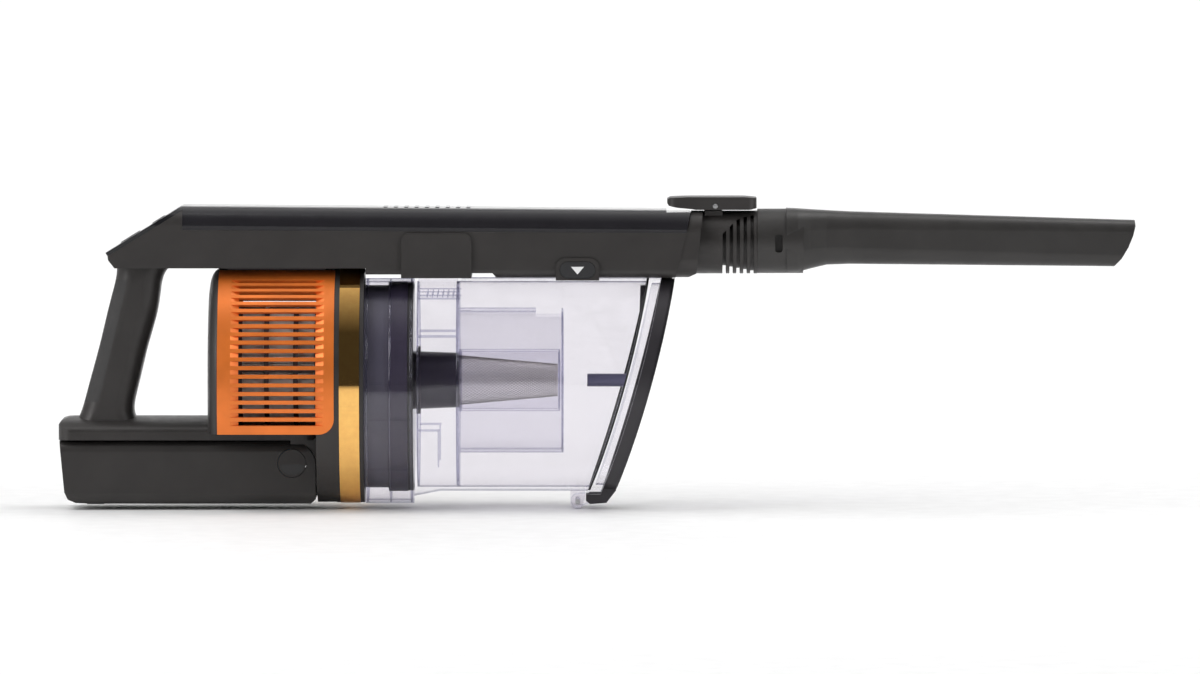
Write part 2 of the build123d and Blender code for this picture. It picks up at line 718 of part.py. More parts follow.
def air_duct():
    """Round duct from the nozzle back to the inlet, with a square mouth down."""
    outer, inner = BORE_RADIUS + 2, BORE_RADIUS
    rear = INLET_REAR - INLET_RIM
    front = seam_x(NOZZLE_Z) + 1.5
    tube = rod_x(rear, front, outer, NOZZLE_Z)
    mouth_half = INLET_HALF_WIDTH + INLET_RIM
    mouth = wide_box(rear, INLET_FRONT + INLET_RIM, mouth_half, WAIST_LOW, NOZZLE_Z)
    bore = rod_x(rear + WALL, front, inner, NOZZLE_Z)
    port = wide_box(INLET_REAR, INLET_FRONT, INLET_HALF_WIDTH, WAIST_LOW, NOZZLE_Z)
    return tube + mouth - bore - port


# ---------------------------------------------------------------------------
# Nozzle, release lever
# ---------------------------------------------------------------------------
LEVER_X = NOZZLE_FRONT - 26.0
LEVER_Z = NOZZLE_Z + 22.6


def nozzle_flange():
    """Rear end of the nozzle, matching the upper body's section."""
    low = DUCT_LOW
    top = BODY_TOP_FRONT - 1.5
    outline = [
        (seam_x(low), low),
        (seam_x(low) + FLANGE_LENGTH, low),
        (seam_x(low) + FLANGE_LENGTH + 5, low + 2.5),
        (seam_x(low) + FLANGE_LENGTH + 9, top),
        (seam_x(top), top),
    ]
    face = Pos(0, (low + top) / 2) * Rectangle(2 * DUCT_HALF_WIDTH - 1, top - low)
    face = fillet(face.vertices(), DUCT_TOP_RADIUS)
    bar = extrude(Plane.YZ.offset(BODY_FRONT - 10) * face, 40)
    return bar & prism(outline, 2 * DUCT_HALF_WIDTH)


def rib_grooves():
    """Ring-shaped grooves that leave the nozzle's ribs, cut below a slanted arch."""
    rear = NOZZLE_FRONT - RIB_ZONE
    grooves = None
    for index in range(RIB_COUNT):
        x = rear + index * RIB_PITCH
        floor_radius = BORE_RADIUS + 1.5 + 0.8 * index
        ring = tube_x(x, x + 0.5 * RIB_PITCH, NOZZLE_RADIUS + 5, floor_radius, NOZZLE_Z)
        grooves = ring if grooves is None else grooves + ring
    outline = [
        (rear - 1, NOZZLE_Z + 5),
        (rear + 3, NOZZLE_Z + 8.5),
        (rear + 8, NOZZLE_Z + 14),
        (rear + 14, NOZZLE_Z + 16.0),
        (NOZZLE_FRONT + 1, NOZZLE_Z + 17.5),
        (NOZZLE_FRONT + 1, NOZZLE_Z - 30),
        (rear - 1, NOZZLE_Z - 30),
    ]
    return grooves & prism(outline, 40)


def nozzle_housing():
    """Nozzle: flange, round tube, ribs and the lug that carries the lever pin."""
    tube = rod_x(seam_x(NOZZLE_Z), NOZZLE_FRONT, NOZZLE_RADIUS, NOZZLE_Z)
    behind_seam = [
        (BODY_FRONT - 40, DUCT_LOW - 20),
        (seam_x(DUCT_LOW - 20), DUCT_LOW - 20),
        (seam_x(BODY_TOP_REAR + 20), BODY_TOP_REAR + 20),
        (BODY_FRONT - 40, BODY_TOP_REAR + 20),
    ]
    saddle_top = LEVER_Z - 2.9
    saddle = wide_box(seam_x(saddle_top) + 8, NOZZLE_FRONT - RIB_ZONE, 10, NOZZLE_Z + 10, saddle_top)
    lug = wide_box(LEVER_X - 3.6, LEVER_X + 3.6, 4.5, NOZZLE_Z + 14, LEVER_Z + 2.6)
    solid = rod_x(BODY_FRONT, NOZZLE_FRONT, NOZZLE_RADIUS, NOZZLE_Z) + tube + nozzle_flange()
    solid = solid + saddle + lug - prism(behind_seam, 60)
    solid = solid - rib_grooves()
    solid = solid - rod_x(BODY_FRONT - 10, NOZZLE_FRONT + 1, BORE_RADIUS, NOZZLE_Z)
    solid = solid - rod_x(BODY_FRONT - 10, seam_x(NOZZLE_Z) + 1.5, BORE_RADIUS + 2, NOZZLE_Z)
    return solid - rod_y(LEVER_X, LEVER_Z, PIN_RADIUS, -20, 20)


def lever_pin():
    """Pin the release lever rocks on."""
    return rod_y(LEVER_X, LEVER_Z, PIN_RADIUS, -LEVER_HALF_WIDTH + 0.3, LEVER_HALF_WIDTH - 0.3)


def release_lever():
    """Rocking lever on top of the nozzle; its front skirt follows the rib arch."""
    top = LEVER_Z + 5.7
    rear = LEVER_X - 29.7
    front = NOZZLE_FRONT - 0.4
    outline = [
        (rear, LEVER_Z + 1.8),
        (rear, top - 1.4),
        (rear + 2, top - 0.4),
        (rear + 12, top),
        (front - 8, top),
        (front, top - 0.6),
        (front, NOZZLE_Z + 21.4),
        (front - 4, NOZZLE_Z + 20.4),
        (LEVER_X + 4, LEVER_Z - 2.2),
        (LEVER_X - 12, LEVER_Z - 2.2),
        (LEVER_X - 14, LEVER_Z - 1.8),
        (rear + 6, LEVER_Z - 0.9),
        (rear + 1, LEVER_Z + 0.2),
    ]
    plan = Pos((rear + front) / 2, 0) * RectangleRounded(front - rear, 2 * LEVER_HALF_WIDTH, 5.5)
    bar = extrude(Plane.XY.offset(LEVER_Z - 8) * plan, 30) & prism(outline, 40)
    pocket = wide_box(LEVER_X - 4.6, LEVER_X + 4.6, 4.8, LEVER_Z - 10, LEVER_Z + 3.6)
    underside = rod_x(rear - 1, front + 1, NOZZLE_RADIUS + 0.9, NOZZLE_Z)
    bar = bar - pocket - underside
    return bar - rod_y(LEVER_X, LEVER_Z, PIN_RADIUS + 0.1, -20, 20)


# ---------------------------------------------------------------------------
# Crevice tool
# ---------------------------------------------------------------------------
def tool_section(x, half_width, z_low, z_high, inset):
    """Rounded cross-section of the tool's blade."""
    width = 2 * (half_width - inset)
    height = z_high - z_low - 2 * inset
    radius = min(width, height) * 0.38
    face = RectangleRounded(width, height, radius)
    return Plane.YZ.offset(x) * Pos(0, (z_low + z_high) / 2) * face


def tool_blade(inset):
    """Long flattened tube that narrows from the collar towards the tip."""
    base = NOZZLE_FRONT
    top = NOZZLE_Z + 21.1
    stations = (
        (base + 18, 19.6, -40.0, 0.0),
        (base + 25, 18.8, -39.6, -0.3),
        (base + 33, 16.8, -37.4, -0.8),
        (base + 43, 15.0, -35.0, -1.4),
        (base + 58, 14.0, -34.5, -2.2),
        (base + 215, 10.0, -36.0, -6.9),
        (base + TOOL_LENGTH + 4, 9.4, -36.4, -7.6),
    )
    pieces = None
    for first, second in zip(stations, stations[1:]):
        ends = [tool_section(x, w, top + low, top + high, inset) for x, w, low, high in (first, second)]
        piece = loft(ends, ruled=True)
        pieces = piece if pieces is None else pieces + piece
    return pieces


def tool_tip_cut():
    """Everything in front of the tool's slanted, slightly bulging tip."""
    tip = NOZZLE_FRONT + TOOL_LENGTH
    top = NOZZLE_Z + 21.1
    outline = [
        (tip, top + 10),
        (tip, top - 6.5),
        (tip + 0.3, top - 11),
        (tip - 1.2, top - 17),
        (tip - 4, top - 24),
        (tip - 8.2, top - 31),
        (tip - 14.0, top - 37.5),
        (tip - 14.0, top - 60),
        (tip + 60, top - 60),
        (tip + 60, top + 10),
    ]
    return prism(outline, 60)


def crevice_tool():
    """Tool: neck that plugs into the nozzle, round collar and long blade."""
    collar_end = NOZZLE_FRONT + TOOL_COLLAR_LENGTH
    outer = NOZZLE_RADIUS + 0.5
    collar = rod_x(NOZZLE_FRONT + SEAM_GAP, collar_end, outer, NOZZLE_Z + 0.7)
    neck = rod_x(NOZZLE_FRONT - NECK_LENGTH, NOZZLE_FRONT + 4, NECK_RADIUS, NOZZLE_Z)
    solid = collar + neck + tool_blade(0)
    neck_rear = NOZZLE_FRONT - NECK_LENGTH
    bore = rod_x(neck_rear - 1, NOZZLE_FRONT + 20, NECK_RADIUS - NECK_WALL, NOZZLE_Z)
    solid = solid - bore
    solid = solid - (tool_blade(TOOL_WALL) & box(NOZZLE_FRONT + 19, 900, -40, 40, 0, 400))
    window = Pos(NOZZLE_FRONT + 13.2, NOZZLE_Z - 0.2) * RectangleRounded(4.6, 11, 1.6)
    window_cut = extrude(Plane.XZ.offset(outer - 4.4) * window, 10)
    return solid - both_sides(window_cut) - tool_tip_cut()


# ---------------------------------------------------------------------------
# Motor pod
# ---------------------------------------------------------------------------
def pod_rear_cap():
    """Bulging rear face of the pod, cut flat where it meets the base."""
    shares = ((0.0, 13.0), (0.18, 6.6), (0.5, 2.4), (1.0, 0.0))
    sections = []
    for share, inset in shares:
        plane = Plane.YZ.offset(CAP_REAR + share * CAP_LENGTH)
        oval_face = Ellipse(POD_HALF_WIDTH - inset, POD_HALF_HEIGHT - inset)
        sections.append(plane * Pos(0, POD_Z) * oval_face)
    shell = loft(sections)
    shell = shell - oval(CAP_REAR + 2.6, POD_REAR + 1, POD_HALF_WIDTH - 14, POD_HALF_HEIGHT - 14, POD_Z)
    return shell - wide_box(CAP_REAR - 5, POD_REAR + 5, 80, -50, DECK_EDGE + SEAM_GAP)


def grille_region(side, gap):
    """Side region taken up by one grille panel, grown by a gap."""
    low = DECK_EDGE + SEAM_GAP - gap
    high = POD_TOP + 10
    rear, front = POD_REAR + 0.2 - gap, POD_FRONT - 0.7 + gap
    face = Pos((rear + front) / 2, (low + high) / 2) * Rectangle(front - rear, high - low)
    corner = face.vertices().group_by(Axis.Y)[0].sort_by(Axis.X)[-1]
    face = fillet(corner, 9.5)
    right = extrude(Plane.XZ.offset(SPINE_HALF_WIDTH - gap) * face, POD_HALF_WIDTH + 20)
    return right if side < 0 else mirror(right, about=Plane.XZ)


def pod_arc_points(low, high, count):
    """Points at equal steps along the right side of the pod's oval, between two heights."""
    samples = 2000
    start = math.asin((low - POD_Z) / POD_HALF_HEIGHT)
    end = math.asin((high - POD_Z) / POD_HALF_HEIGHT)
    angles = [start + (end - start) * index / samples for index in range(samples + 1)]
    points = [(POD_HALF_WIDTH * math.cos(a), POD_HALF_HEIGHT * math.sin(a)) for a in angles]
    lengths = [0.0]
    for first, second in zip(points, points[1:]):
        lengths.append(lengths[-1] + math.dist(first, second))
    chosen = []
    for index in range(count):
        target = lengths[-1] * index / (count - 1)
        nearest = min(range(samples + 1), key=lambda i: abs(lengths[i] - target))
        chosen.append(angles[nearest])
    return chosen, lengths[-1] / (count - 1)


def slot_cutter(angle, height, side):
    """Cutter for one exhaust slot with sloping ends."""
    y = side * POD_HALF_WIDTH * math.cos(angle)
    z = POD_Z + POD_HALF_HEIGHT * math.sin(angle)
    normal = (0, side * math.cos(angle) / POD_HALF_WIDTH, math.sin(angle) / POD_HALF_HEIGHT)
    centre_x = POD_REAR + 37.0
    frame = Plane(origin=(centre_x, y, z), x_dir=(1, 0, 0), z_dir=normal)
    deep = -GRILLE_WALL - 2.0
    half_slot = SLOT_LENGTH / 2
    outline = [
        (-half_slot - SLOT_RAMP, 1.0),
        (-half_slot - SLOT_RAMP, 0.0),
        (-half_slot, -GRILLE_WALL),
        (-half_slot, deep),
        (half_slot, deep),
        (half_slot, -GRILLE_WALL),
        (half_slot + SLOT_RAMP, 0.0),
        (half_slot + SLOT_RAMP, 1.0),
    ]
    profile = Plane(origin=frame.origin, x_dir=(1, 0, 0), z_dir=-frame.y_dir)
    face = make_face(profile * Polyline(*outline, close=True))
    return extrude(face, height / 2, both=True)


def grille_panel(side):
    """Exhaust grille: a curved panel with a column of long slots."""
    shell = pod_bar(POD_REAR, POD_FRONT, 0) - pod_bar(POD_REAR, POD_FRONT, GRILLE_WALL)
    panel = shell & grille_region(side, 0)
    angles, pitch = pod_arc_points(SLOT_LOW * POD_TOP, SLOT_HIGH * POD_TOP, SLOT_COUNT)
    for angle in angles:
        panel = panel - slot_cutter(angle, SLOT_SHARE * pitch, side)
    return panel


def pod_housing():
    """Frame of the pod: spine, end rings, floor and the chin in front of the battery."""
    ends = pod_bar(POD_REAR, POD_FRONT, 0) - pod_bar(POD_REAR, POD_FRONT, POD_INNER)
    skin = pod_bar(POD_REAR, POD_FRONT, -5) - pod_bar(POD_REAR, POD_FRONT, GRILLE_WALL + SEAM_GAP)
    chin_rear = POD_FRONT - POD_CHIN_LENGTH
    floor_low = DECK_EDGE + SEAM_GAP
    shell = ends
    for side in (-1, 1):
        shell = shell - (skin & grille_region(side, SEAM_GAP))
    window = box(POD_REAR + 8, POD_FRONT - 8, 10, 80, floor_low + 4.4, 0.972 * POD_TOP)
    shell = shell - both_sides(window)
    shell = shell - wide_box(POD_REAR - 1, chin_rear, 80, -50, floor_low)
    floor = pod_bar(POD_REAR, POD_FRONT, GRILLE_WALL + SEAM_GAP)
    floor = floor & wide_box(POD_REAR, POD_FRONT, 80, floor_low, floor_low + WALL)
    chin = pod_bar(chin_rear, chin_rear + WALL, 1)
    chin = chin & wide_box(POD_REAR, POD_FRONT, 80, -50, floor_low)
    neck = wide_box(POD_REAR + 5, POD_FRONT - 7, SPINE_HALF_WIDTH - 0.5, POD_TOP - 3, HEAD_LOW)
    return shell + floor + chin + neck


def ring_carrier():
    """Dark ring between pod and cup: bulkhead with the fan's inlet, groove for the trim."""
    ring = pod_bar(POD_FRONT, CARRIER_FRONT, -0.2) - pod_bar(POD_FRONT + 4, CARRIER_FRONT, POD_INNER)
    groove_rear, groove_front = POD_FRONT + TRIM_MARGIN, CARRIER_FRONT - TRIM_MARGIN
    groove = pod_bar(groove_rear, groove_front, -5) - pod_bar(groove_rear, groove_front, TRIM_DEPTH)
    eye = rod_x(POD_FRONT - 1, POD_FRONT + 5, 14, MOTOR_Z)
    return ring - groove - eye


def trim_ring():
    """Polished oval band set into the carrier."""
    rear, front = POD_FRONT + TRIM_MARGIN, CARRIER_FRONT - TRIM_MARGIN
    return pod_bar(rear, front, -TRIM_PROUD) - pod_bar(rear, front, TRIM_DEPTH)


# ---------------------------------------------------------------------------
# Exhaust filter and motor
# ---------------------------------------------------------------------------
def exhaust_filter():
    """Drum of filter paper around the motor."""
    return tube_x(DRUM_REAR + 4, FAN_REAR, DRUM_RADIUS - 0.6, DRUM_INNER, MOTOR_Z)


def filter_frame():
    """Closed end plate, two bands and four bars that hold the drum."""
    band_outer, band_inner = DRUM_RADIUS, DRUM_RADIUS - 0.6
    frame = rod_x(DRUM_REAR, DRUM_REAR + 4, DRUM_RADIUS, MOTOR_Z)
    frame = frame + rod_x(CAP_REAR + 2.6, DRUM_REAR, 6, MOTOR_Z)
    frame = frame + tube_x(FAN_REAR, FAN_REAR + 2.4, DRUM_RADIUS, DRUM_INNER, MOTOR_Z)
    for x in (POD_REAR + 28.5, POD_REAR + 46.5):
        frame = frame + tube_x(x, x + 3, band_outer, band_inner, MOTOR_Z)
    cage = tube_x(DRUM_REAR + 2, FAN_REAR + 1, band_outer, band_inner, MOTOR_Z)
    cross = wide_box(DRUM_REAR, FAN_REAR + 2, 1.5, MOTOR_Z - 60, MOTOR_Z + 60)
    cross = cross + wide_box(DRUM_REAR, FAN_REAR + 2, 60, MOTOR_Z - 1.5, MOTOR_Z + 1.5)
    return frame + (cage & cross)


def around_motor(shape, count):
    """Copies of a shape turned about the motor's axis."""
    axis = Axis((0, 0, MOTOR_Z), (1, 0, 0))
    result = None
    for index in range(count):
        turned = shape.rotate(axis, 360 * index / count)
        result = turned if result is None else result + turned
    return result


def motor_can():
    """Steel can, open towards the fan, with a vented rear wall and a bearing seat."""
    can = rod_x(CAN_REAR, FAN_REAR, CAN_RADIUS, MOTOR_Z)
    can = can - rod_x(CAN_REAR + CAN_WALL, FAN_REAR + 1, CAN_RADIUS - CAN_WALL, MOTOR_Z)
    can = can + rod_x(CAN_REAR, CAN_REAR + 6, 7.5, MOTOR_Z)
    can = can - rod_x(CAN_REAR - 1, CAN_REAR + 7, BEARING_RADIUS, MOTOR_Z)
    vent = rod_x(CAN_REAR - 1, CAN_REAR + 3, VENT_RADIUS, MOTOR_Z + 15)
    return can - around_motor(vent, 6)


def motor_bearings():
    """Rear and front bearings of the shaft."""
    rear = tube_x(CAN_REAR, CAN_REAR + 5, BEARING_RADIUS, SHAFT_RADIUS + SEAM_GAP, MOTOR_Z)
    front = tube_x(FAN_REAR - 3.5, FAN_REAR + 1.5, BEARING_RADIUS, SHAFT_RADIUS + SEAM_GAP, MOTOR_Z)
    return rear + front


STATOR_REAR, STATOR_LENGTH = CAN_REAR + 9.0, 20.0


def stator_tooth():
    """One pole of the stator, pointing inwards from the top."""
    return wide_box(STATOR_REAR, STATOR_REAR + STATOR_LENGTH, 2.6, MOTOR_Z + 11, MOTOR_Z + 20.5)


def stator():
    """Laminated ring with six poles."""
    ring = tube_x(STATOR_REAR, STATOR_REAR + STATOR_LENGTH, CAN_RADIUS - CAN_WALL, 19.5, MOTOR_Z)
    return ring + around_motor(stator_tooth(), POLE_COUNT)


def stator_coils():
    """Six copper windings, one around each pole."""
    rear, front = STATOR_REAR, STATOR_REAR + STATOR_LENGTH
    block = wide_box(rear - 2.5, front + 2.5, 4.6, MOTOR_Z + 12.5, MOTOR_Z + 18.6)
    hole = wide_box(rear, front, 2.6, MOTOR_Z + 10, MOTOR_Z + 20)
    return around_motor(block - hole, POLE_COUNT)


def fan_housing():
    """Round cup around the impeller, with a vented rear wall over the motor can."""
    cup = rod_x(FAN_REAR, POD_FRONT, FAN_RADIUS, MOTOR_Z)
    cup = cup - rod_x(FAN_REAR + 1.5, POD_FRONT + 1, FAN_RADIUS - 1.6, MOTOR_Z)
    cup = cup - rod_x(FAN_REAR - 1, FAN_REAR + 2, BEARING_RADIUS, MOTOR_Z)
    vent = rod_x(FAN_REAR - 1, FAN_REAR + 2, VENT_RADIUS, MOTOR_Z + 15)
    return cup - around_motor(vent, 8)


def motor_shaft():
    """Steel shaft through both bearings."""
    return rod_x(CAN_REAR + 0.6, POD_FRONT - 3, SHAFT_RADIUS, MOTOR_Z)


def rotor_magnet():
    """Magnet drum on the shaft, inside the stator."""
    return tube_x(STATOR_REAR - 1, STATOR_REAR + STATOR_LENGTH + 1, 10.2, SHAFT_RADIUS, MOTOR_Z)


def impeller():
    """Bladed wheel on the front of the shaft."""
    rear = FAN_REAR + 3.0
    plate = rod_x(rear, rear + 1.2, IMPELLER_RADIUS, MOTOR_Z)
    hub = cone_x(rear, POD_FRONT - 3, 9.0, 4.5, MOTOR_Z)
    blade = box(rear + 1, POD_FRONT - 3.6, -0.5, 0.5, MOTOR_Z + 4, MOTOR_Z + IMPELLER_RADIUS - 0.6)
    blade = blade.rotate(Axis((0, 0, MOTOR_Z + 6), (1, 0, 0)), 24)
    blade = blade & rod_x(rear, POD_FRONT, IMPELLER_RADIUS - 0.4, MOTOR_Z)
    wheel = plate + hub + around_motor(blade, BLADE_COUNT)
    return wheel - rod_x(rear - 1, POD_FRONT, SHAFT_RADIUS, MOTOR_Z)


# ---------------------------------------------------------------------------
# Filters ahead of the motor
# ---------------------------------------------------------------------------
FILTER_REAR = CARRIER_FRONT
FILTER_STEP = FILTER_REAR + FILTER_BODY
FILTER_FRONT = FILTER_STEP + FILTER_RING
FILTER_HALF_WIDTH = COLLAR_HALF_WIDTH - 4.5
FILTER_HALF_HEIGHT = COLLAR_HALF_HEIGHT - 4.8
FILTER_Z = COLLAR_Z + 2.6


def filter_oval(x0, x1, inset):
    """Solid oval bar with the filter housing's section, shrunk by an inset."""
    return oval(x0, x1, FILTER_HALF_WIDTH - inset, FILTER_HALF_HEIGHT - inset, FILTER_Z)


def filter_housing():
    """Oval filter tray: narrow rear body, wider front ring."""
    body = filter_oval(FILTER_REAR, FILTER_STEP + 1, 2.2) + filter_oval(FILTER_STEP, FILTER_FRONT, 0)
    tray = filter_oval(FILTER_REAR + WALL, FILTER_FRONT + 1, 4.6)
    return body - tray - rod_x(FILTER_REAR - 1, FILTER_REAR + 5, 28, MOTOR_Z)


def felt_filter():
    """Thin felt pad behind the foam."""
    return filter_oval(FILTER_REAR + WALL, FILTER_REAR + WALL + 7, 4.8)


def foam_filter():
    """Foam block facing the dust cup."""
    return filter_oval(FILTER_REAR + WALL + 7, FILTER_FRONT - 1.5, 4.8)


# ---------------------------------------------------------------------------
# Dust cup
# ---------------------------------------------------------------------------
def cup_flare(inset):
    """Rear end of the cup, which widens and drops towards the collar."""
    drop = 1.6
    sections = [
        Plane.YZ.offset(COLLAR_FRONT)
        * Pos(0, CUP_Z - drop)
        * Ellipse(CUP_HALF_WIDTH + 1.2 - inset, CUP_HALF_HEIGHT + drop - inset),
        Plane.YZ.offset(COLLAR_FRONT + CUP_FLARE_LENGTH)
        * Pos(0, CUP_Z)
        * Ellipse(CUP_HALF_WIDTH - inset, CUP_HALF_HEIGHT - inset),
    ]
    return loft(sections, ruled=True)


def inlet_boss(gap):
    """Flat-topped block on the cup under the inlet, or the port through it."""
    boss_half = INLET_HALF_WIDTH + INLET_RIM
    low = CUP_Z + oval_height(boss_half, CUP_HALF_WIDTH - WALL, CUP_HALF_HEIGHT - WALL)
    return wide_box(
        INLET_REAR - gap, INLET_FRONT + gap, INLET_HALF_WIDTH + gap, low, CUP_TOP
    )


def hinge_lug(side):
    """One clear lug under the cup that holds the hinge pin."""
    inner = side * (ARM_HALF_WIDTH + SLIDE_GAP)
    outer = side * LUG_OUTER
    y0, y1 = min(inner, outer), max(inner, outer)
    knuckle = rod_y(HINGE_X, HINGE_Z, HINGE_LUG_RADIUS, y0, y1)
    web = box(HINGE_X - HINGE_LUG_RADIUS, HINGE_X + HINGE_LUG_RADIUS, y0, y1, HINGE_Z, CUP_LOW + 5.5)
    return knuckle + web


def cup_shell():
    """Clear cup: oval tube with a leaning front edge, an inlet port and hinge lugs."""
    far = COLLAR_FRONT + CUP_LENGTH + 40
    outer = cup_flare(0) + cup_bar(COLLAR_FRONT + CUP_FLARE_LENGTH, far, 0)
    outer = outer + inlet_boss(INLET_RIM)
    for side in (-1, 1):
        outer = outer + hinge_lug(side)
    hollow = cup_bar(COLLAR_FRONT + 2, far + 1, WALL)
    shell = outer - hollow
    shell = shell - rod_x(COLLAR_FRONT - 1, COLLAR_FRONT + 3, HUB_RADIUS - 0.5, CYCLONE_Z)
    port = wide_box(INLET_REAR, INLET_FRONT, INLET_HALF_WIDTH, CUP_Z, CUP_TOP + 1)
    shell = shell - port
    shell = shell - rod_y(HINGE_X, HINGE_Z, HINGE_PIN_RADIUS, -40, 40)
    return door_slice(shell, -3 * CUP_LENGTH, 0)


def cup_collar():
    """Clear sleeve behind the cup, over the filter housing, with low ribs inside."""
    sleeve = oval_tube(
        COLLAR_REAR, COLLAR_FRONT, COLLAR_HALF_WIDTH, COLLAR_HALF_HEIGHT, COLLAR_Z, COLLAR_WALL
    )
    inner = oval(
        COLLAR_REAR, COLLAR_FRONT, COLLAR_HALF_WIDTH - 0.5, COLLAR_HALF_HEIGHT - 0.5, COLLAR_Z
    )
    clear = filter_oval(COLLAR_REAR, COLLAR_FRONT, -SLIDE_GAP)
    for share in (-0.86, -0.1, 0.22, 0.67):
        z = COLLAR_Z - share * COLLAR_HALF_HEIGHT
        rib = wide_box(COLLAR_REAR + 3, COLLAR_FRONT, 80, z - 0.5, z + 0.5)
        sleeve = sleeve + ((rib & inner) - clear)
    return sleeve


def cup_seal():
    """Soft oval ring between the cup's rear wall and the filter housing."""
    rear, front = FILTER_FRONT + SEAM_GAP, COLLAR_FRONT
    return filter_oval(rear, front, 0.4) - filter_oval(rear, front, 4.2)


def shroud_tube():
    """Clear round tube around the mesh, with a flange at the rear."""
    rear = COLLAR_FRONT + HUB_LENGTH
    front = rear + MESH_LENGTH + 3.8
    tube = tube_x(rear, front, SHROUD_RADIUS, SHROUD_RADIUS - SHROUD_WALL, CYCLONE_Z)
    flange = cup_bar(rear - 2, rear, WALL + SEAM_GAP)
    flange = flange - rod_x(rear - 3, rear + 1, HUB_FRONT_RADIUS + 0.6, CYCLONE_Z)
    top = CYCLONE_Z + SHROUD_RADIUS
    step = wide_box(rear + SHROUD_STEP_X, front + 1, 60, top - SHROUD_STEP_DEPTH, top + 1)
    return tube - step + flange


def cyclone_hub():
    """Outlet hub from the cup's rear wall to the mesh."""
    front = COLLAR_FRONT + HUB_LENGTH
    hub = cone_x(COLLAR_FRONT, front, HUB_RADIUS - 0.5, HUB_FRONT_RADIUS, CYCLONE_Z)
    lip = rod_x(COLLAR_FRONT + 2, COLLAR_FRONT + 4, HUB_RADIUS + 2.5, CYCLONE_Z)
    return hub + lip - rod_x(COLLAR_FRONT - 1, front + 1, 13, CYCLONE_Z)


def mesh_cone(inset, x0, x1):
    """Solid cone of the mesh, shrunk by an inset."""
    return cone_x(x0, x1, MESH_RADIUS - inset, MESH_FRONT_RADIUS - inset, CYCLONE_Z)


def mesh_screen():
    """Thin conical mesh the clean air leaves through."""
    rear = COLLAR_FRONT + HUB_LENGTH
    front = rear + MESH_LENGTH
    return mesh_cone(0, rear, front) - mesh_cone(MESH_WALL, rear, front)


def screen_cage():
    """Clear sleeve around the mesh, with an end plate and a cap over the mesh's front end."""
    rear = COLLAR_FRONT + HUB_LENGTH
    front = rear + MESH_LENGTH
    sleeve = tube_x(rear, front + CAGE_WALL, CAGE_RADIUS, CAGE_RADIUS - CAGE_WALL, CYCLONE_Z)
    plate = rod_x(front, front + CAGE_WALL, CAGE_RADIUS, CYCLONE_Z)
    cap = rod_x(front, front + 3.8, MESH_FRONT_RADIUS + 1.6, CYCLONE_Z)
    return sleeve + plate + cap


def hinge_pin():
    """Steel pin through the lugs and the door's arm."""
    return rod_y(HINGE_X, HINGE_Z, HINGE_PIN_RADIUS, -LUG_OUTER, LUG_OUTER)


# ---------------------------------------------------------------------------
# Cup door
# ---------------------------------------------------------------------------
def door_bar(inset):
    """Oval bar long enough to be sliced into the layers of the door."""
    rear = COLLAR_FRONT + CUP_LENGTH - 90
    return cup_bar(rear, rear + 160, inset)


def door_ring(inset_outer, inset_inner, depth0, depth1):
    """Ring-shaped layer of the door."""
    return door_slice(door_bar(inset_outer) - door_bar(inset_inner), depth0, depth1)


def door_seal():
    """Soft ring between the door and the cup's front edge."""
    return door_ring(0.2, WALL + 1.8, SEAM_GAP, SEAM_GAP + SEAL_THICK)


def below_body(shape):
    """A door piece cut level at the top, to pass under the upper body."""
    return shape & wide_box(COLLAR_FRONT, BODY_FRONT + 40, 80, -50, CUP_TOP - SLIDE_GAP)


def door_window():
    """Clear door plate with a clear wall around it and a clear hinge arm."""
    rear = SEAM_GAP + SEAL_THICK
    pane = door_slice(door_bar(-0.4), rear, rear + DOOR_PANE)
    wall = door_ring(-0.4, WALL + 1.2, rear + DOOR_PANE, rear + DOOR_CLEAR)
    return below_body(pane + wall) + door_arm()


def door_arm():
    """Arm from the bottom of the door back to the hinge pin."""
    knuckle = rod_y(HINGE_X, HINGE_Z, HINGE_LUG_RADIUS - 0.3, -ARM_HALF_WIDTH, ARM_HALF_WIDTH)
    rear = SEAM_GAP + SEAL_THICK
    front_x = door_plane_x(CUP_LOW - 1, rear + DOOR_CLEAR - SEAM_GAP)
    outline = [
        (HINGE_X, HINGE_Z + HINGE_LUG_RADIUS - 0.4),
        (HINGE_X, HINGE_Z - HINGE_LUG_RADIUS + 0.4),
        (HINGE_X + 8, HINGE_Z - 0.8),
        (front_x, HINGE_Z + 0.4),
        (front_x, CUP_LOW + 2),
        (door_plane_x(CUP_LOW + 2, rear + 0.5), CUP_LOW + 2),
        (door_plane_x(CUP_LOW - 1, rear), CUP_LOW - 1),
        (HINGE_X + 6, CUP_LOW - 1),
    ]
    arm = prism(outline, ARM_HALF_WIDTH) + knuckle
    return arm - rod_y(HINGE_X, HINGE_Z, HINGE_PIN_RADIUS + SEAM_GAP, -20, 20)


def door_hook(side):
    """Dark lobe from the bottom of the rim back towards the hinge, beside the arm."""
    rear = SEAM_GAP + SEAL_THICK + DOOR_CLEAR
    toe_x = HINGE_X + HINGE_LUG_RADIUS + 0.6
    end_x = door_plane_x(CUP_LOW + 4, rear + DOOR_RIM - 1)
    outline = [
        (toe_x, CUP_LOW - 1.5),
        (toe_x, HINGE_Z + 0.6),
        (toe_x + 2.6, HINGE_Z - 1.4),
        (end_x - 6, HINGE_Z - 0.6),
        (end_x, CUP_LOW + 1),
        (end_x, CUP_LOW + 7),
        (door_plane_x(CUP_LOW + 7, rear), CUP_LOW + 7),
        (door_plane_x(CUP_LOW - 1.5, rear), CUP_LOW - 1.5),
    ]
    inner, outer = ARM_HALF_WIDTH + SEAM_GAP, LUG_OUTER
    middle = side * (inner + outer) / 2
    return Pos(0, middle) * prism(outline, (outer - inner) / 2)


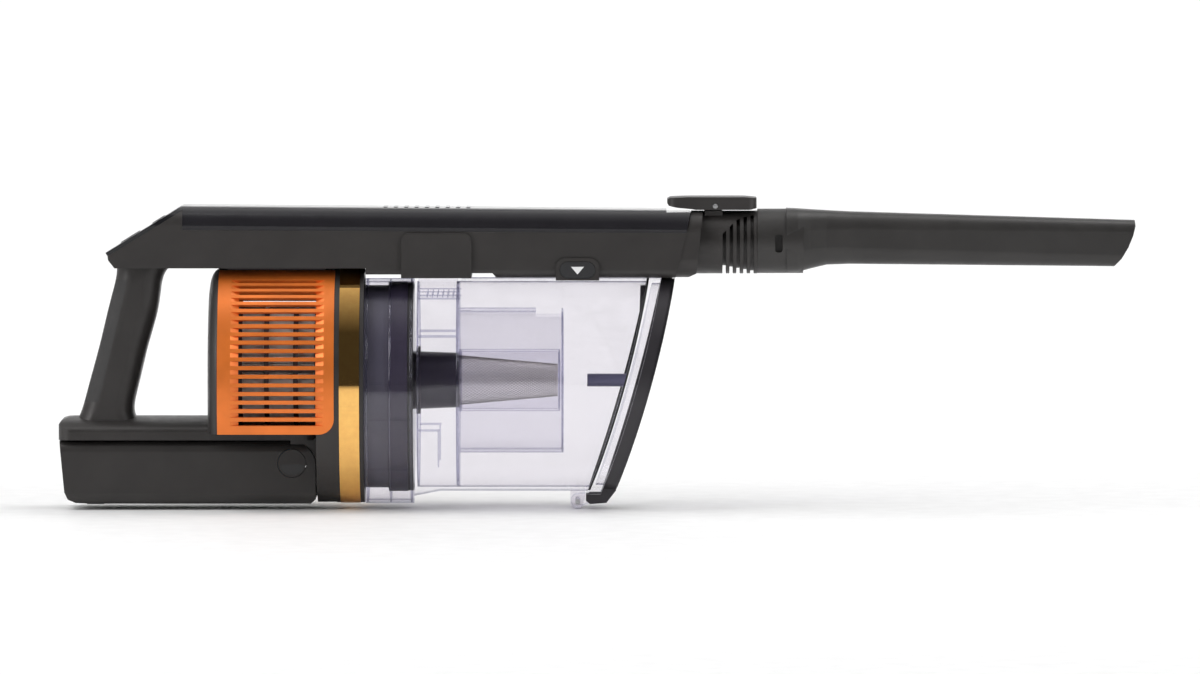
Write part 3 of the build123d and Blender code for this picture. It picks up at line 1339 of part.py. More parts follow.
def door_rim():
    """Dark bulging rim on the front of the door, with a hook on each side of the arm."""
    rear = SEAM_GAP + SEAL_THICK + DOOR_CLEAR
    ring = door_ring(-0.9, WALL + 6, rear, rear + 0.8 * DOOR_RIM)
    nose = door_ring(0.8, WALL + 6, rear + 0.8 * DOOR_RIM, rear + DOOR_RIM)
    return below_body(ring + nose) + door_hook(-1) + door_hook(1)


def door_peg():
    """Short peg on the inside of the door that ends near the cyclone."""
    z = CYCLONE_Z
    rear = COLLAR_FRONT + 107.3
    bar = rod_x(rear, rear + 60, 4.0, z)
    return door_slice(bar, -60, SEAM_GAP + SEAL_THICK)


def door_catch():
    """Wedge on the inside of the door's top edge."""
    low, high = CUP_TOP - 21, CUP_TOP - WALL - 2.6
    rear_low = door_plane_x(low, -0.5)
    front = door_plane_x(high, 10)
    outline = [(rear_low, low), (rear_low + 0.5, high), (front, high), (front, low)]
    return door_slice(prism(outline, 6), -60, SEAL_THICK + SEAM_GAP)


# ---------------------------------------------------------------------------
# Battery
# ---------------------------------------------------------------------------
def battery_bar(inset):
    """Battery block with rounded long edges and a round front top corner."""
    low, high = inset, BATTERY_TOP - inset
    face = Pos(0, (low + high) / 2) * RectangleRounded(
        2 * (BATTERY_HALF_WIDTH - inset), high - low, 7.0 - inset
    )
    bar = extrude(Plane.YZ.offset(-5) * face, BATTERY_FRONT + 10)
    front = BATTERY_FRONT - inset
    outline = [
        (BATTERY_REAR + inset, BATTERY_TOP),
        (BATTERY_REAR + 3.1 + inset, 7.4),
        (BATTERY_REAR + 5.2 + inset, 2.8),
        (BATTERY_REAR + 10 + inset, inset + 0.6),
        (BATTERY_REAR + 20, inset),
        (front - 3, inset),
        (front, inset + 3),
    ]
    corner = BATTERY_CORNER - inset
    for step in range(9):
        angle = math.radians(90 * step / 8)
        x = front - corner + corner * math.cos(angle)
        outline.append((x, high - corner + corner * math.sin(angle)))
    return bar & prism(outline, 40)


def battery_case():
    """Open tub for the cells, with round latch holes in both sides."""
    shell = battery_bar(0) - battery_bar(BATTERY_WALL)
    shell = shell & wide_box(-20, BATTERY_FRONT + 10, 60, -20, BATTERY_LID_EDGE - SEAM_GAP)
    hole = rod_y(LATCH_X, LATCH_Z, LATCH_RADIUS + SLIDE_GAP, -40, 40)
    return shell - hole


def battery_lid():
    """Lid with the lipped tongue that slides into the base."""
    lid = battery_bar(0) - battery_bar(BATTERY_WALL)
    lid = lid & wide_box(-20, BATTERY_FRONT + 10, 60, BATTERY_LID_EDGE, BATTERY_TOP + 5)
    shape = lid + tongue(0)
    for y in (-8, 0, 8):
        slot = box(
            TONGUE_FRONT - 11, TONGUE_FRONT + 1, y - 0.8, y + 0.8, CONTACT_Z - 1.3, CONTACT_Z + 3
        )
        shape = shape - slot
    return shape


def battery_cells():
    """Seven round cells: two staggered rows, one place left for the electronics."""
    rise = math.sqrt((2 * CELL_RADIUS) ** 2 - (CELL_PITCH / 2) ** 2) + 0.2
    low_z = BATTERY_WALL + 0.8 + CELL_RADIUS
    first = BATTERY_REAR + 12.0
    cells = []
    for column in (0, 1):
        start = first + column * (CELL_LENGTH + 0.5)
        for y in (-0.75 * CELL_PITCH, 0.25 * CELL_PITCH):
            cells.append(rod_x(start, start + CELL_LENGTH, CELL_RADIUS, low_z, y))
        for y in (-0.25 * CELL_PITCH, 0.75 * CELL_PITCH):
            if column == 1 and y > 0:
                continue
            cells.append(rod_x(start, start + CELL_LENGTH, CELL_RADIUS, low_z + rise, y))
    return Compound(children=[cell.solid() for cell in cells])


def battery_feet():
    """Two small soft feet under the rear of the battery."""
    foot = box(17.4, 28.0, 8, 18, -0.3, 0.0) + box(18.4, 27.0, 9, 17, 0.0, 0.8)
    return both_sides(foot)


def foot_sockets():
    """Pockets in the battery's underside for the feet."""
    return both_sides(box(18.4, 27.0, 9, 17, -1.0, 0.8))


def latch_button(side):
    """Round battery latch button with a recessed lower half."""
    face_y = BATTERY_HALF_WIDTH + 0.4
    back_y = BATTERY_HALF_WIDTH - 0.9
    disc = rod_y(LATCH_X, LATCH_Z, LATCH_RADIUS, -face_y, -back_y)
    dent = rod_y(LATCH_X, LATCH_Z, LATCH_RADIUS - 1, -face_y - 1, -face_y + 0.5)
    dent = dent & box(LATCH_X - 20, LATCH_X + 20, -80, 0, LATCH_Z - 20, LATCH_Z - 0.5)
    disc = disc - dent
    return disc if side < 0 else mirror(disc, about=Plane.XZ)


# ---------------------------------------------------------------------------
# Every piece by name
# ---------------------------------------------------------------------------
def housing_screws():
    """The screws that join the two housing halves."""
    screws = [housing_screw(*seat).solid() for seat in screw_seats()]
    return Compound(children=screws)


def build_parts():
    """All pieces by node name."""
    housing = rear_housing()
    return {
        "housing_right": half(housing, -1),
        "housing_left": half(housing, 1),
        "housing_screws": housing_screws(),
        "palm_grip": palm_strip(),
        "wiring": wiring(),
        "battery_contacts": contact_block(),
        "control_panel": control_panel(),
        "status_lens": lens_bar(0),
        "control_board": control_board(),
        "power_button": panel_button(POWER_ALONG, POWER_RADIUS),
        "mode_button": panel_button(MODE_ALONG, MODE_RADIUS),
        "top_cover": top_cover(),
        "duct_shell": duct_shell(),
        "door_button": door_button(),
        "inlet_saddle": inlet_saddle(),
        "inlet_gasket": inlet_gasket(),
        "air_duct": air_duct(),
        "nozzle_housing": nozzle_housing(),
        "lever_pin": lever_pin(),
        "release_lever": release_lever(),
        "crevice_tool": crevice_tool(),
        "pod_rear_cap": pod_rear_cap(),
        "pod_housing": pod_housing(),
        "grille_right": grille_panel(-1),
        "grille_left": grille_panel(1),
        "ring_carrier": ring_carrier(),
        "trim_ring": trim_ring(),
        "exhaust_filter": exhaust_filter(),
        "filter_frame": filter_frame(),
        "motor_can": motor_can(),
        "motor_bearings": motor_bearings(),
        "stator": stator(),
        "stator_coils": stator_coils(),
        "fan_housing": fan_housing(),
        "motor_shaft": motor_shaft(),
        "rotor_magnet": rotor_magnet(),
        "impeller": impeller(),
        "filter_housing": filter_housing(),
        "felt_filter": felt_filter(),
        "foam_filter": foam_filter(),
        "cup_shell": cup_shell(),
        "cup_collar": cup_collar(),
        "cup_seal": cup_seal(),
        "shroud_tube": shroud_tube(),
        "cyclone_hub": cyclone_hub(),
        "mesh_screen": mesh_screen(),
        "screen_cage": screen_cage(),
        "hinge_pin": hinge_pin(),
        "door_window": door_window(),
        "door_rim": door_rim(),
        "door_seal": door_seal(),
        "door_peg": door_peg(),
        "door_catch": door_catch(),
        "battery_case": battery_case() - foot_sockets(),
        "battery_lid": battery_lid(),
        "battery_cells": battery_cells(),
        "battery_feet": battery_feet(),
        "latch_right": latch_button(-1),
        "latch_left": latch_button(1),
    }


parts = build_parts()

# The shared frame has its origin at the middle of the underside.
boxes = [shape.bounding_box() for shape in parts.values()]
origin_x = (min(b.min.X for b in boxes) + max(b.max.X for b in boxes)) / 2
origin_y = (min(b.min.Y for b in boxes) + max(b.max.Y for b in boxes)) / 2
origin_z = min(b.min.Z for b in boxes)

for name, shape in parts.items():
    export_step(Pos(-origin_x, -origin_y, -origin_z) * shape, f"parts/{name}.step")
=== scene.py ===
import json
import math

import bmesh
import bpy
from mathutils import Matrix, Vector


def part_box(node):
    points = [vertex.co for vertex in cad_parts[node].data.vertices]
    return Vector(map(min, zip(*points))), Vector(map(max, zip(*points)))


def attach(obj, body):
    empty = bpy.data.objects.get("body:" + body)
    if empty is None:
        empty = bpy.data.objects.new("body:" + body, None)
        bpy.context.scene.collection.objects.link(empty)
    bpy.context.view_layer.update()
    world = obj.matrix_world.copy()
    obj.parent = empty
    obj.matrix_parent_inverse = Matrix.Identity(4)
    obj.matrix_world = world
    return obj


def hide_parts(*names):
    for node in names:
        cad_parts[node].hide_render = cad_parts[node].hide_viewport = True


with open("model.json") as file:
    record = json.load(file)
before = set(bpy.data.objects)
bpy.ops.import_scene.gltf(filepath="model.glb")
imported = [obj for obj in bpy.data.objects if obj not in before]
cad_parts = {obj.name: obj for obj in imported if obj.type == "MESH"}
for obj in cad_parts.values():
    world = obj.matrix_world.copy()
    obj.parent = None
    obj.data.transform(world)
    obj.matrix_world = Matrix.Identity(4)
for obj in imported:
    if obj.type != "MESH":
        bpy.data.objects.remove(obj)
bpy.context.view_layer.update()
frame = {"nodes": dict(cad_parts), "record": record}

NODES = frame["nodes"]
MM = 0.001


# ---------------------------------------------------------------------------
# Node trees
# ---------------------------------------------------------------------------
class Tree:
    """A node tree written top to bottom."""

    def __init__(self, tree):
        self.tree = tree
        tree.nodes.clear()

    def add(self, kind, **values):
        node = self.tree.nodes.new(kind)
        for key, value in values.items():
            setattr(node, key, value)
        return node

    def link(self, output, target):
        self.tree.links.new(output, target)

    def place(self):
        """Position on the object, in metres of the shared frame."""
        return self.add("ShaderNodeTexCoord").outputs["Object"]

    def noise(self, scale, detail=3.0, roughness=0.5):
        """Noise over the object; scale is features a metre."""
        node = self.add("ShaderNodeTexNoise")
        node.inputs["Scale"].default_value = scale
        node.inputs["Detail"].default_value = detail
        node.inputs["Roughness"].default_value = roughness
        self.link(self.place(), node.inputs["Vector"])
        return node.outputs["Fac"]

    def ramp(self, source, low, high, start=0.35, end=0.65):
        """Colour or grey between two ends of a source."""
        node = self.add("ShaderNodeValToRGB")
        first, last = node.color_ramp.elements
        first.position, last.position = start, end
        first.color, last.color = rgba(low), rgba(high)
        self.link(source, node.inputs["Fac"])
        return node.outputs["Color"]

    def spread(self, source, low, high, start=0.3, end=0.7):
        """Number between two ends of a source."""
        node = self.add("ShaderNodeMapRange")
        node.inputs["From Min"].default_value = start
        node.inputs["From Max"].default_value = end
        node.inputs["To Min"].default_value = low
        node.inputs["To Max"].default_value = high
        self.link(source, node.inputs["Value"])
        return node.outputs["Result"]

    def bump(self, height, strength, distance, normal=None):
        node = self.add("ShaderNodeBump")
        node.inputs["Strength"].default_value = strength
        node.inputs["Distance"].default_value = distance
        self.link(height, node.inputs["Height"])
        if normal is not None:
            self.link(normal, node.inputs["Normal"])
        return node.outputs["Normal"]


def rgba(colour):
    """A grey number or a colour as red, green, blue and alpha."""
    if isinstance(colour, (int, float)):
        return (colour, colour, colour, 1.0)
    return (*colour, 1.0)


def scaled(colour, factor):
    """A colour made lighter or darker."""
    return tuple(min(1.0, channel * factor) for channel in colour)


def new_shader(name):
    """A fresh material, its tree and its surface shader."""
    material = bpy.data.materials.new(name)
    material.use_nodes = True
    tree = Tree(material.node_tree)
    shader = tree.add("ShaderNodeBsdfPrincipled")
    output = tree.add("ShaderNodeOutputMaterial")
    tree.link(shader.outputs["BSDF"], output.inputs["Surface"])
    return material, tree, shader


def moulded(name, colour, roughness, grain=0.35, depth=0.03, metallic=0.0, coat=0.0, mottle=0.08):
    """Moulded plastic: fine spark-eroded grain, soft flow marks, uneven sheen."""
    material, tree, shader = new_shader(name)
    flow = tree.noise(38.0, 4.0)
    fine = tree.noise(1.0 / (grain * MM), 2.0)
    smudge = tree.noise(140.0, 5.0, 0.6)
    tree.link(tree.ramp(flow, scaled(colour, 1 - mottle), scaled(colour, 1 + mottle)),
              shader.inputs["Base Color"])
    tree.link(tree.spread(smudge, roughness * 0.86, roughness * 1.16), shader.inputs["Roughness"])
    tree.link(tree.bump(fine, 0.35, depth * MM), shader.inputs["Normal"])
    shader.inputs["Metallic"].default_value = metallic
    shader.inputs["Coat Weight"].default_value = coat
    shader.inputs["Coat Roughness"].default_value = 0.12
    return material


def two_tone(name, rear, front, split):
    """Moulded plastic with a paler rear and a darker front, changing at one place along X."""
    material, tree, shader = new_shader(name)
    axes = tree.add("ShaderNodeSeparateXYZ")
    tree.link(tree.place(), axes.inputs["Vector"])
    share = tree.spread(axes.outputs["X"], 0.0, 1.0, split - 0.3 * MM, split + 0.3 * MM)
    fine = tree.noise(2800.0, 2.0)
    smudge = tree.noise(140.0, 5.0, 0.6)
    tree.link(tree.ramp(share, rear, front, 0.0, 1.0), shader.inputs["Base Color"])
    tree.link(tree.spread(smudge, 0.34, 0.5), shader.inputs["Roughness"])
    tree.link(tree.bump(fine, 0.35, 0.03 * MM), shader.inputs["Normal"])
    return material


def polished(name, colour, roughness):
    """Vacuum-plated trim: mirror bright, with faint haze and waviness."""
    material, tree, shader = new_shader(name)
    haze = tree.noise(220.0, 5.0, 0.65)
    wave = tree.noise(26.0, 2.0)
    tree.link(tree.ramp(haze, scaled(colour, 0.94), scaled(colour, 1.05)), shader.inputs["Base Color"])
    tree.link(tree.spread(haze, roughness * 0.7, roughness * 1.7), shader.inputs["Roughness"])
    tree.link(tree.bump(wave, 0.08, 0.4 * MM), shader.inputs["Normal"])
    shader.inputs["Metallic"].default_value = 1.0
    return material


def brushed(name, colour, roughness, stretch=(40.0, 900.0, 900.0)):
    """Machined or drawn metal with fine lines along one way."""
    material, tree, shader = new_shader(name)
    mapping = tree.add("ShaderNodeMapping")
    mapping.inputs["Scale"].default_value = stretch
    tree.link(tree.place(), mapping.inputs["Vector"])
    lines = tree.add("ShaderNodeTexNoise")
    lines.inputs["Scale"].default_value = 3.0
    lines.inputs["Detail"].default_value = 3.0
    tree.link(mapping.outputs["Vector"], lines.inputs["Vector"])
    tree.link(tree.ramp(lines.outputs["Fac"], scaled(colour, 0.8), scaled(colour, 1.15)),
              shader.inputs["Base Color"])
    tree.link(tree.spread(lines.outputs["Fac"], roughness * 0.7, roughness * 1.4),
              shader.inputs["Roughness"])
    tree.link(tree.bump(lines.outputs["Fac"], 0.2, 0.05 * MM), shader.inputs["Normal"])
    shader.inputs["Metallic"].default_value = 1.0
    return material


def rubbery(name, colour, roughness=0.7, grain=0.6):
    """Soft rubber: matt, faintly dusty, with a fine stipple."""
    material, tree, shader = new_shader(name)
    dust = tree.noise(90.0, 6.0, 0.7)
    stipple = tree.noise(1.0 / (grain * MM), 2.0)
    tree.link(tree.ramp(dust, colour, scaled(colour, 1.7), 0.4, 0.8), shader.inputs["Base Color"])
    tree.link(tree.spread(dust, roughness * 0.9, min(1.0, roughness * 1.15)), shader.inputs["Roughness"])
    tree.link(tree.bump(stipple, 0.5, 0.06 * MM), shader.inputs["Normal"])
    return material


def clear_plastic(name, tint, edge, mirror=0.03):
    """Clear moulded plastic: pale tint, darker where it is seen edge on, glossy, faintly scuffed."""
    material = bpy.data.materials.new(name)
    material.use_nodes = True
    tree = Tree(material.node_tree)
    wave = tree.noise(30.0, 2.0)
    scuff = tree.noise(420.0, 6.0, 0.75)

    facing = tree.add("ShaderNodeLayerWeight")
    facing.inputs["Blend"].default_value = 0.5
    see_through = tree.add("ShaderNodeBsdfTransparent")
    tree.link(tree.ramp(facing.outputs["Facing"], tint, edge, 0.72, 1.0), see_through.inputs["Color"])

    gloss = tree.add("ShaderNodeBsdfGlossy")
    gloss.inputs["Color"].default_value = rgba((0.95, 0.95, 0.98))
    tree.link(tree.spread(scuff, 0.03, 0.16, 0.45, 0.75), gloss.inputs["Roughness"])
    tree.link(tree.bump(wave, 0.1, 0.5 * MM), gloss.inputs["Normal"])

    grazing = tree.add("ShaderNodeMath", operation="POWER")
    tree.link(facing.outputs["Facing"], grazing.inputs[0])
    grazing.inputs[1].default_value = 5.0
    mix = tree.add("ShaderNodeMixShader")
    tree.link(tree.spread(grazing.outputs["Value"], mirror, 0.7, 0.0, 1.0), mix.inputs["Fac"])
    tree.link(see_through.outputs["BSDF"], mix.inputs[1])
    tree.link(gloss.outputs["BSDF"], mix.inputs[2])
    output = tree.add("ShaderNodeOutputMaterial")
    tree.link(mix.outputs["Shader"], output.inputs["Surface"])
    return material


def fibrous(name, colour, scale, depth):
    """Paper, felt or foam: matt fibres or pores."""
    material, tree, shader = new_shader(name)
    fibre = tree.noise(scale, 6.0, 0.7)
    stain = tree.noise(60.0, 3.0)
    tree.link(tree.ramp(stain, scaled(colour, 0.86), colour), shader.inputs["Base Color"])
    tree.link(tree.bump(fibre, 0.6, depth * MM), shader.inputs["Normal"])
    shader.inputs["Roughness"].default_value = 0.95
    return material


def printed(name, colour):
    """Opaque print or a light moulded inlay."""
    material, tree, shader = new_shader(name)
    fine = tree.noise(2500.0, 2.0)
    tree.link(tree.ramp(fine, scaled(colour, 0.93), colour), shader.inputs["Base Color"])
    shader.inputs["Roughness"].default_value = 0.5
    return material


BODY_GREY = (0.034, 0.031, 0.03)
TOOL_GREY = (0.034, 0.032, 0.031)
FILTER_RING = 12.0 * MM   # length of the wide front ring of the filter housing
FILTER_STEP_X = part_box("filter_housing")[1].x - FILTER_RING

MATERIALS = {
    "dark_body": moulded("dark_body", BODY_GREY, 0.42, metallic=0.25),
    "tool_dark": moulded("tool_dark", TOOL_GREY, 0.4, metallic=0.2),
    "soft_grip": rubbery("soft_grip", (0.026, 0.025, 0.025)),
    "gloss_black": moulded("gloss_black", (0.016, 0.015, 0.018), 0.2, grain=2.0, depth=0.01, coat=0.6),
    "panel_gloss": moulded("panel_gloss", (0.01, 0.01, 0.012), 0.12, grain=2.0, depth=0.005, coat=0.8),
    "button_grey": moulded("button_grey", (0.11, 0.11, 0.11), 0.45),
    "inner_dark": moulded("inner_dark", (0.03, 0.03, 0.03), 0.55),
    "orange_grille": moulded("orange_grille", (0.82, 0.2, 0.032), 0.36, grain=0.3, metallic=0.4),
    "gold_trim": polished("gold_trim", (1.0, 0.56, 0.17), 0.04),
    "filter_paper": fibrous("filter_paper", (0.9, 0.88, 0.86), 1800.0, 0.08),
    "filter_frame": moulded("filter_frame", (0.05, 0.05, 0.055), 0.5),
    "motor_steel": brushed("motor_steel", (0.55, 0.55, 0.55), 0.3),
    "stator_steel": brushed("stator_steel", (0.3, 0.3, 0.31), 0.4),
    "steel": brushed("steel", (0.6, 0.6, 0.61), 0.28),
    "copper": brushed("copper", (0.72, 0.3, 0.14), 0.3, (900.0, 60.0, 60.0)),
    "magnet": brushed("magnet", (0.2, 0.2, 0.21), 0.35),
    "impeller_plastic": moulded("impeller_plastic", (0.1, 0.1, 0.11), 0.4),
    "navy": moulded("navy", (0.034, 0.028, 0.05), 0.42),
    "filter_navy": two_tone("filter_navy", (0.1, 0.095, 0.13), (0.04, 0.033, 0.058), FILTER_STEP_X),
    "felt": fibrous("felt", (0.78, 0.78, 0.76), 1500.0, 0.2),
    "foam": fibrous("foam", (0.12, 0.12, 0.13), 700.0, 0.5),
    "black_rubber": rubbery("black_rubber", (0.014, 0.014, 0.014)),
    "cable": rubbery("cable", (0.02, 0.02, 0.02), 0.5),
    "contact_block": moulded("contact_block", (0.03, 0.03, 0.03), 0.5),
    "board": moulded("board", (0.02, 0.13, 0.05), 0.4, grain=0.8),
    "lens": moulded("lens", (0.55, 0.6, 0.65), 0.15, grain=2.0, depth=0.005, coat=0.5),
    "clear": clear_plastic("clear", (0.95, 0.943, 0.957), (0.36, 0.36, 0.47)),
    "clear_inner": clear_plastic("clear_inner", (0.975, 0.972, 0.985), (0.4, 0.4, 0.55)),
    "clear_bead": clear_plastic("clear_bead", (0.8, 0.8, 0.86), (0.25, 0.26, 0.38), 0.06),
    # Near-black used for the painted shade in the battery latch recesses.
    "painted_shade_black": moulded("painted_shade_black", (0.006, 0.006, 0.007), 0.3, coat=0.3),
    "mesh_steel": brushed("mesh_steel", (0.6, 0.58, 0.53), 0.35, (500.0, 500.0, 500.0)),
    "rim_dark": moulded("rim_dark", (0.034, 0.031, 0.036), 0.35, metallic=0.2),
    "peg_blue": moulded("peg_blue", (0.13, 0.13, 0.21), 0.4),
    "cell_wrap": moulded("cell_wrap", (0.04, 0.2, 0.42), 0.3, grain=1.0, depth=0.01),
}


SOFT_EDGES = {
    "clear": 0.6, "clear_inner": 0.5, "dark_body": 0.8, "tool_dark": 0.8, "gloss_black": 0.6,
    "orange_grille": 0.3, "rim_dark": 1.2, "button_grey": 0.4, "gold_trim": 0.3, "navy": 0.8,
}


# Nodes whose finish differs from the rest of their slot.
SPECIAL_FINISH = {"door_button": "panel_gloss", "filter_housing": "filter_navy"}


def dress_nodes():
    """Gives every CAD node its procedural material, and rounds its moulded edges."""
    for entry in frame["record"]["subparts"]:
        node = NODES[entry["node"]]
        slot = entry["material_slot"]
        node.data.materials.clear()
        node.data.materials.append(MATERIALS[SPECIAL_FINISH.get(entry["node"], slot)])
        if slot in SOFT_EDGES:
            soften(node, SOFT_EDGES[slot])


def soften(node, radius):
    """Small rounded edges on a CAD node."""
    bevel = node.modifiers.new("soft_edges", "BEVEL")
    bevel.width = radius * MM
    bevel.segments = 3
    bevel.limit_method = "ANGLE"
    bevel.angle_limit = math.radians(40.0)


# ---------------------------------------------------------------------------
# Pieces
# ---------------------------------------------------------------------------
def mesh_piece(name, body, material, build):
    """A new mesh piece filled by a build function that takes a bmesh."""
    mesh = bpy.data.meshes.new(name)
    work = bmesh.new()
    build(work)
    bmesh.ops.recalc_face_normals(work, faces=work.faces)
    work.to_mesh(mesh)
    work.free()
    mesh.materials.append(material)
    piece = bpy.data.objects.new(name, mesh)
    bpy.context.scene.collection.objects.link(piece)
    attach(piece, body)
    return piece


def middle(node):
    """Centre of a CAD node's box."""
    low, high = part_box(node)
    return (low + high) / 2


def pleated_drum():
    """Pleated paper drum in place of the filter's plain solid."""
    low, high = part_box("exhaust_filter")
    centre = middle("exhaust_filter")
    outer = (high.z - low.z) / 2
    inner = outer - 5.2 * MM
    pleats = 84
    rows = 7

    def build(work):
        rings = []
        for row in range(rows):
            x = low.x + (high.x - low.x) * row / (rows - 1)
            ring = []
            for index in range(2 * pleats):
                sway = 0.25 * MM * math.sin(3.1 * row + 0.7 * index)
                radius = outer - 0.1 * MM if index % 2 == 0 else inner
                angle = math.pi * index / pleats + sway / outer
                ring.append(work.verts.new((
                    x, centre.y + radius * math.cos(angle), centre.z + radius * math.sin(angle))))
            rings.append(ring)
        for first, second in zip(rings, rings[1:]):
            for index in range(2 * pleats):
                after = (index + 1) % (2 * pleats)
                work.faces.new((first[index], first[after], second[after], second[index]))

    piece = mesh_piece("pleated_filter", "main_body", MATERIALS["filter_paper"], build)
    thick = piece.modifiers.new("thickness", "SOLIDIFY")
    thick.thickness = 0.45 * MM
    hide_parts("exhaust_filter")


def wire_ring(work, centre, path, radius, sides=5):
    """Round wire along a list of points."""
    previous = None
    for index, point in enumerate(path):
        ahead = path[min(index + 1, len(path) - 1)]
        behind = path[max(index - 1, 0)]
        along = (ahead - behind).normalized()
        outward = (point - centre(point)).normalized()
        side = along.cross(outward).normalized()
        ring = []
        for step in range(sides):
            angle = 2 * math.pi * step / sides
            offset = outward * math.cos(angle) + side * math.sin(angle)
            ring.append(work.verts.new(point + radius * offset))
        if previous is not None:
            for step in range(sides):
                after = (step + 1) % sides
                work.faces.new((previous[step], previous[after], ring[after], ring[step]))
        previous = ring


def woven_screen():
    """Woven steel cone: two crossing sets of spiral wires."""
    low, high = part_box("mesh_screen")
    centre = middle("mesh_screen")
    rear_radius = (high.z - low.z) / 2 - 0.3 * MM
    front_radius = rear_radius * 0.64
    wires = 44
    steps = 36
    turn = 1.15

    def axis_point(point):
        return Vector((point.x, centre.y, centre.z))

    def build(work):
        for way in (-1, 1):
            for wire in range(wires):
                path = []
                for step in range(steps + 1):
                    share = step / steps
                    weave = 0.14 * MM * way * (1 if (step + wire) % 2 else -1)
                    radius = rear_radius + (front_radius - rear_radius) * share + weave
                    angle = 2 * math.pi * (wire / wires + way * turn * share / 2)
                    path.append(Vector((
                        low.x + (high.x - low.x) * share,
                        centre.y + radius * math.cos(angle),
                        centre.z + radius * math.sin(angle))))
                wire_ring(work, axis_point, path, 0.2 * MM, 4)

    piece = mesh_piece("woven_screen", "dust_cup", MATERIALS["mesh_steel"], build)
    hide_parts("mesh_screen")


def button_triangle():
    """Light triangle inlaid in the door button."""
    low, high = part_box("door_button")
    centre = middle("door_button")
    front = low.y - 0.05 * MM
    back = low.y + 0.2 * MM
    corners = ((-4.0, 2.05), (4.0, 2.05), (0.0, -2.65))   # millimetres from the button's centre

    def build(work):
        for y in (front, back):
            work.faces.new([work.verts.new((centre.x + x * MM, y, centre.z + z * MM)) for x, z in corners])
        work.verts.ensure_lookup_table()
        for index in range(3):
            after = (index + 1) % 3
            work.faces.new([work.verts[i] for i in (index, after, after + 3, index + 3)])

    material = printed("button_print", (0.85, 0.85, 0.85))
    mesh_piece("door_button_mark", "door_button_body", material, build)


def ring_bead(work, x, width, centre, radii, wall):
    """Oval bead: a band of a given width along X, standing inwards by a wall."""
    steps = 96
    profile = ((x, 0.0), (x + width, 0.0), (x + width, wall), (x, wall))
    rings = []
    for along, inset in profile:
        ring = []
        for step in range(steps):
            angle = 2 * math.pi * step / steps
            ring.append(work.verts.new((
                along,
                centre.y + (radii[0] - inset) * math.cos(angle),
                centre.z + (radii[1] - inset) * math.sin(angle))))
        rings.append(ring)
    for first, second in zip(rings, rings[1:] + rings[:1]):
        for step in range(steps):
            after = (step + 1) % steps
            work.faces.new((first[step], first[after], second[after], second[step]))


def block(work, low, high):
    """Block between two corners."""
    size = Vector(high) - Vector(low)
    made = bmesh.ops.create_cube(work, size=1.0)["verts"]
    bmesh.ops.scale(work, vec=size, verts=made)
    bmesh.ops.translate(work, vec=(Vector(high) + Vector(low)) / 2, verts=made)


def rounded(piece, radius):
    """Rounded edges on a new piece."""
    bevel = piece.modifiers.new("edges", "BEVEL")
    bevel.width = radius * MM
    bevel.segments = 2
    bevel.limit_method = "ANGLE"


def half_size(node):
    """Half the width and height of a CAD node."""
    low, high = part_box(node)
    return (high.y - low.y) / 2, (high.z - low.z) / 2


CUP_HALF_HEIGHT = 66.3 * MM
CUP_BORE = (46.2 * MM, 63.4 * MM)   # half width and half height inside the cup
SHROUD_RADIUS = 44.6 * MM
EDGE_GAP = 0.2 * MM                 # between a bead and the end of the wall it stands on


def cup_beads():
    """Thickened clear rims inside the cup: shroud mouth, sleeve mouth and rear, partition, cup rear."""
    shroud_low, shroud_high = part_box("shroud_tube")
    cage_low, cage_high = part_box("screen_cage")
    cup_low, cup_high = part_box("cup_shell")
    hub = middle("cyclone_hub")
    cup = Vector((0.0, middle("cup_shell").y, cup_high.z - CUP_HALF_HEIGHT))
    shroud = (SHROUD_RADIUS, SHROUD_RADIUS)
    sleeve_radius = half_size("screen_cage")[1] - EDGE_GAP
    sleeve = (sleeve_radius, sleeve_radius)
    sleeve_cap = 3.4 * MM
    beads = (
        (shroud_high.x - EDGE_GAP - 1.2 * MM, 1.2, hub, shroud, 2.2),
        (cage_high.x - sleeve_cap, 1.2, hub, sleeve, 1.6),
        (cage_low.x + EDGE_GAP, 1.0, hub, sleeve, 1.4),
        (shroud_low.x + EDGE_GAP, 1.4, cup, CUP_BORE, 3.0),
        (cup_low.x + 2.4 * MM, 1.0, cup, CUP_BORE, 2.4),
    )

    def build(work):
        for x, width, centre, radii, wall in beads:
            ring_bead(work, x, width * MM, centre, radii, wall * MM)

    piece = mesh_piece("cup_beads", "dust_cup", MATERIALS["clear_bead"], build)
    rounded(piece, 0.3)


